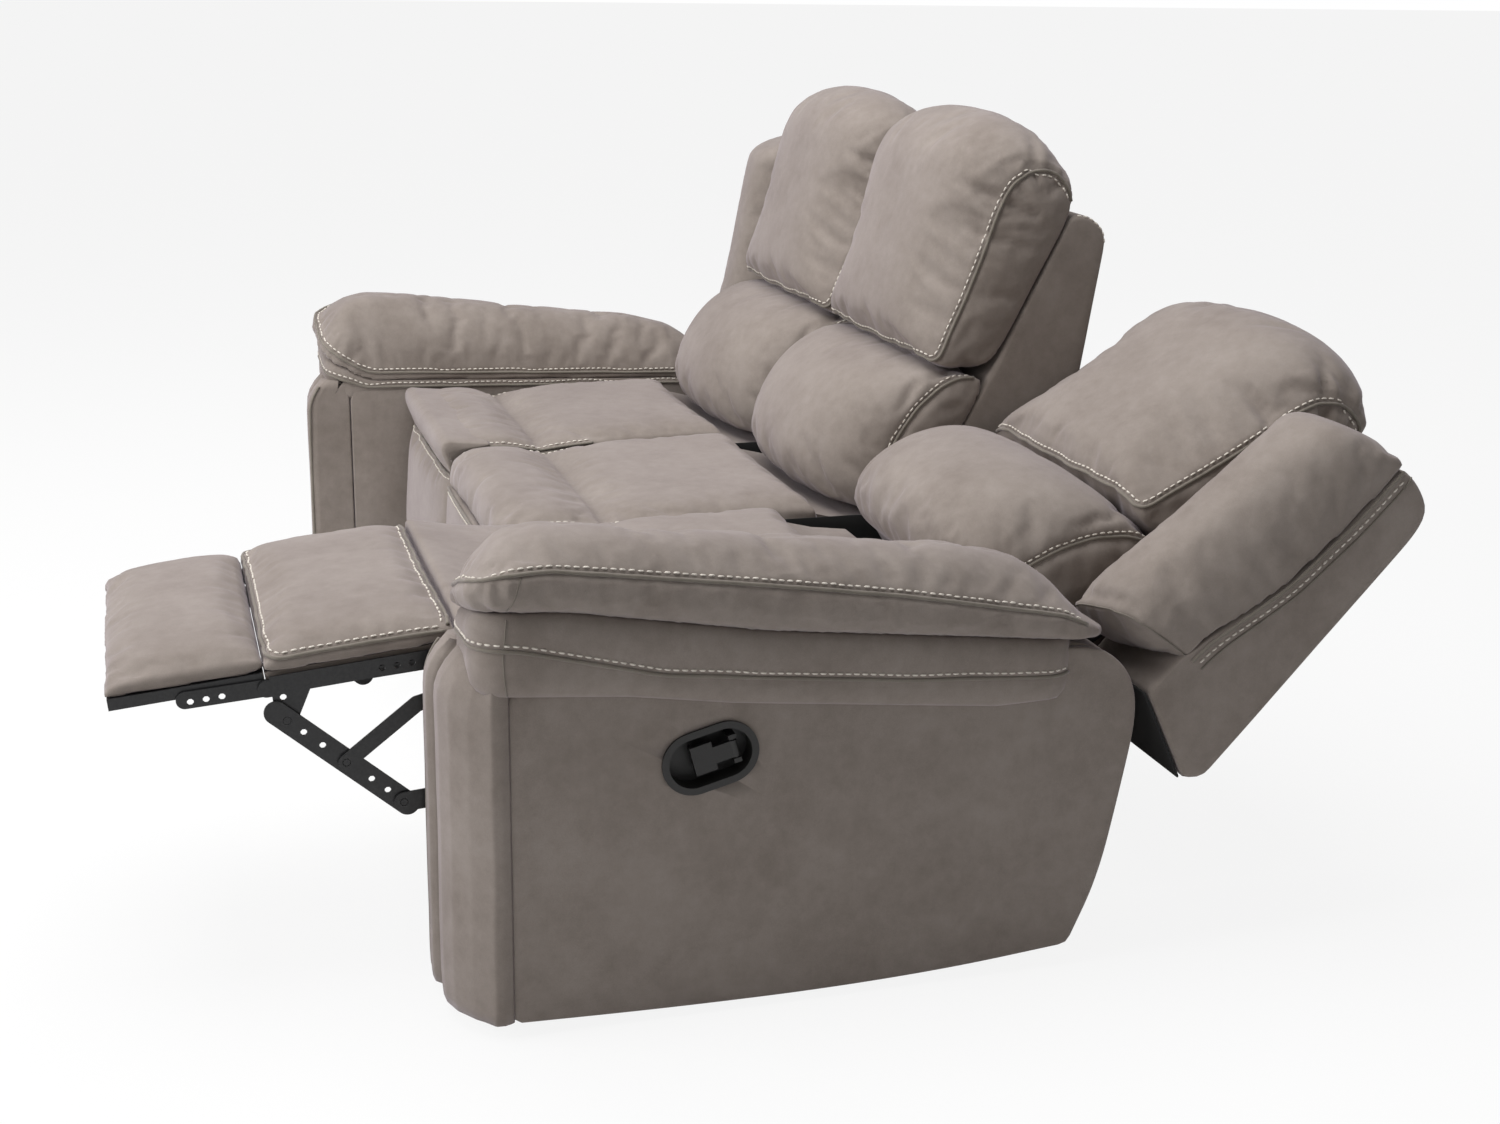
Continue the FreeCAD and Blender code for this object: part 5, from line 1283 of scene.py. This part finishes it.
def make_stage():
    mat, nodes, links, shader = material("pale_floor", (0.82, 0.82, 0.82), 0.9)
    corners = [(x * FLOOR, y * FLOOR, -0.001) for x, y in ((-1, -1), (1, -1), (1, 1), (-1, 1))]
    new_object("floor", corners, [(0, 1, 2, 3)], mat, smooth=False)
    path = nodes.new("ShaderNodeLightPath")
    glow = nodes.new("ShaderNodeEmission")
    put(glow, {"Color": (1, 1, 1, 1)})
    seen = nodes.new("ShaderNodeMath")
    seen.operation = "MULTIPLY"
    seen.inputs[1].default_value = 0.88
    links.new(path.outputs["Is Camera Ray"], seen.inputs[0])
    skin = mix_shaders(nodes, links, seen.outputs["Value"], shader.outputs["BSDF"],
                       glow.outputs["Emission"])
    links.new(skin, nodes["Material Output"].inputs["Surface"])
    world = bpy.data.worlds.new("studio")
    bpy.context.scene.world = world
    world.use_nodes = True
    nodes, links = world.node_tree.nodes, world.node_tree.links
    plain, white = nodes["Background"], nodes.new("ShaderNodeBackground")
    put(plain, {"Color": (1, 1, 1, 1), "Strength": 0.25})
    put(white, {"Color": (1, 1, 1, 1), "Strength": 1.0})
    path = nodes.new("ShaderNodeLightPath")
    sky = mix_shaders(nodes, links, path.outputs["Is Camera Ray"], plain.outputs["Background"],
                      white.outputs["Background"])
    links.new(sky, nodes["World Output"].inputs["Surface"])
    make_lamps()
    bpy.context.scene.view_settings.view_transform = "Standard"


make_camera()
covers = {
    "upper_cushion": make_upper(),
    "lumbar_cushion": make_lumbar(),
    "roll": make_roll(),
    "seat": make_seat_cover("seat", SEAT_CROWN, SEAT_SEAM, SEAT_HALF, 6),
    "middle_seat": make_seat_cover("middle_seat", MIDDLE_CROWN, MIDDLE_SEAM, MIDDLE_HALF, 8),
    "ottoman": make_rest_cover("ottoman", OTTOMAN_RUN, 52, OTTOMAN_SEAM, PAD_HALF, OTTOMAN_TOP, 10),
    "flip": make_rest_cover("flip", FLIP_PAD_RUN, 49, 30, FLIP_HALF, FLIP_TOP, 12),
    "pad": make_pad(),
    "band": arm_levels("band", BAND_LEVELS, BAND_REAR),
}
run_cloth()
kits = {
    "upper_cushion": dress_upper(covers["upper_cushion"]),
    "lumbar_cushion": dress_lumbar(covers["lumbar_cushion"]),
    "roll": dress_roll(covers["roll"]),
    "wing": make_wing(),
    "seat": dress_seat(covers["seat"], SEAT_SEAM, SEAT_HALF),
    "middle_seat": dress_seat(covers["middle_seat"], MIDDLE_SEAM, MIDDLE_HALF),
    "ottoman": dress_ottoman(covers["ottoman"]),
    "flip": dress_flip(covers["flip"]),
    "pad": dress_pad(covers["pad"]),
    "band": dress_band(covers["band"]),
}
make_backs(kits)
make_seats(kits)
make_footrests(kits)
make_chaises()
make_arms(kits)
for kit in kits.values():
    bpy.data.objects.remove(kit.cover)
make_stage()
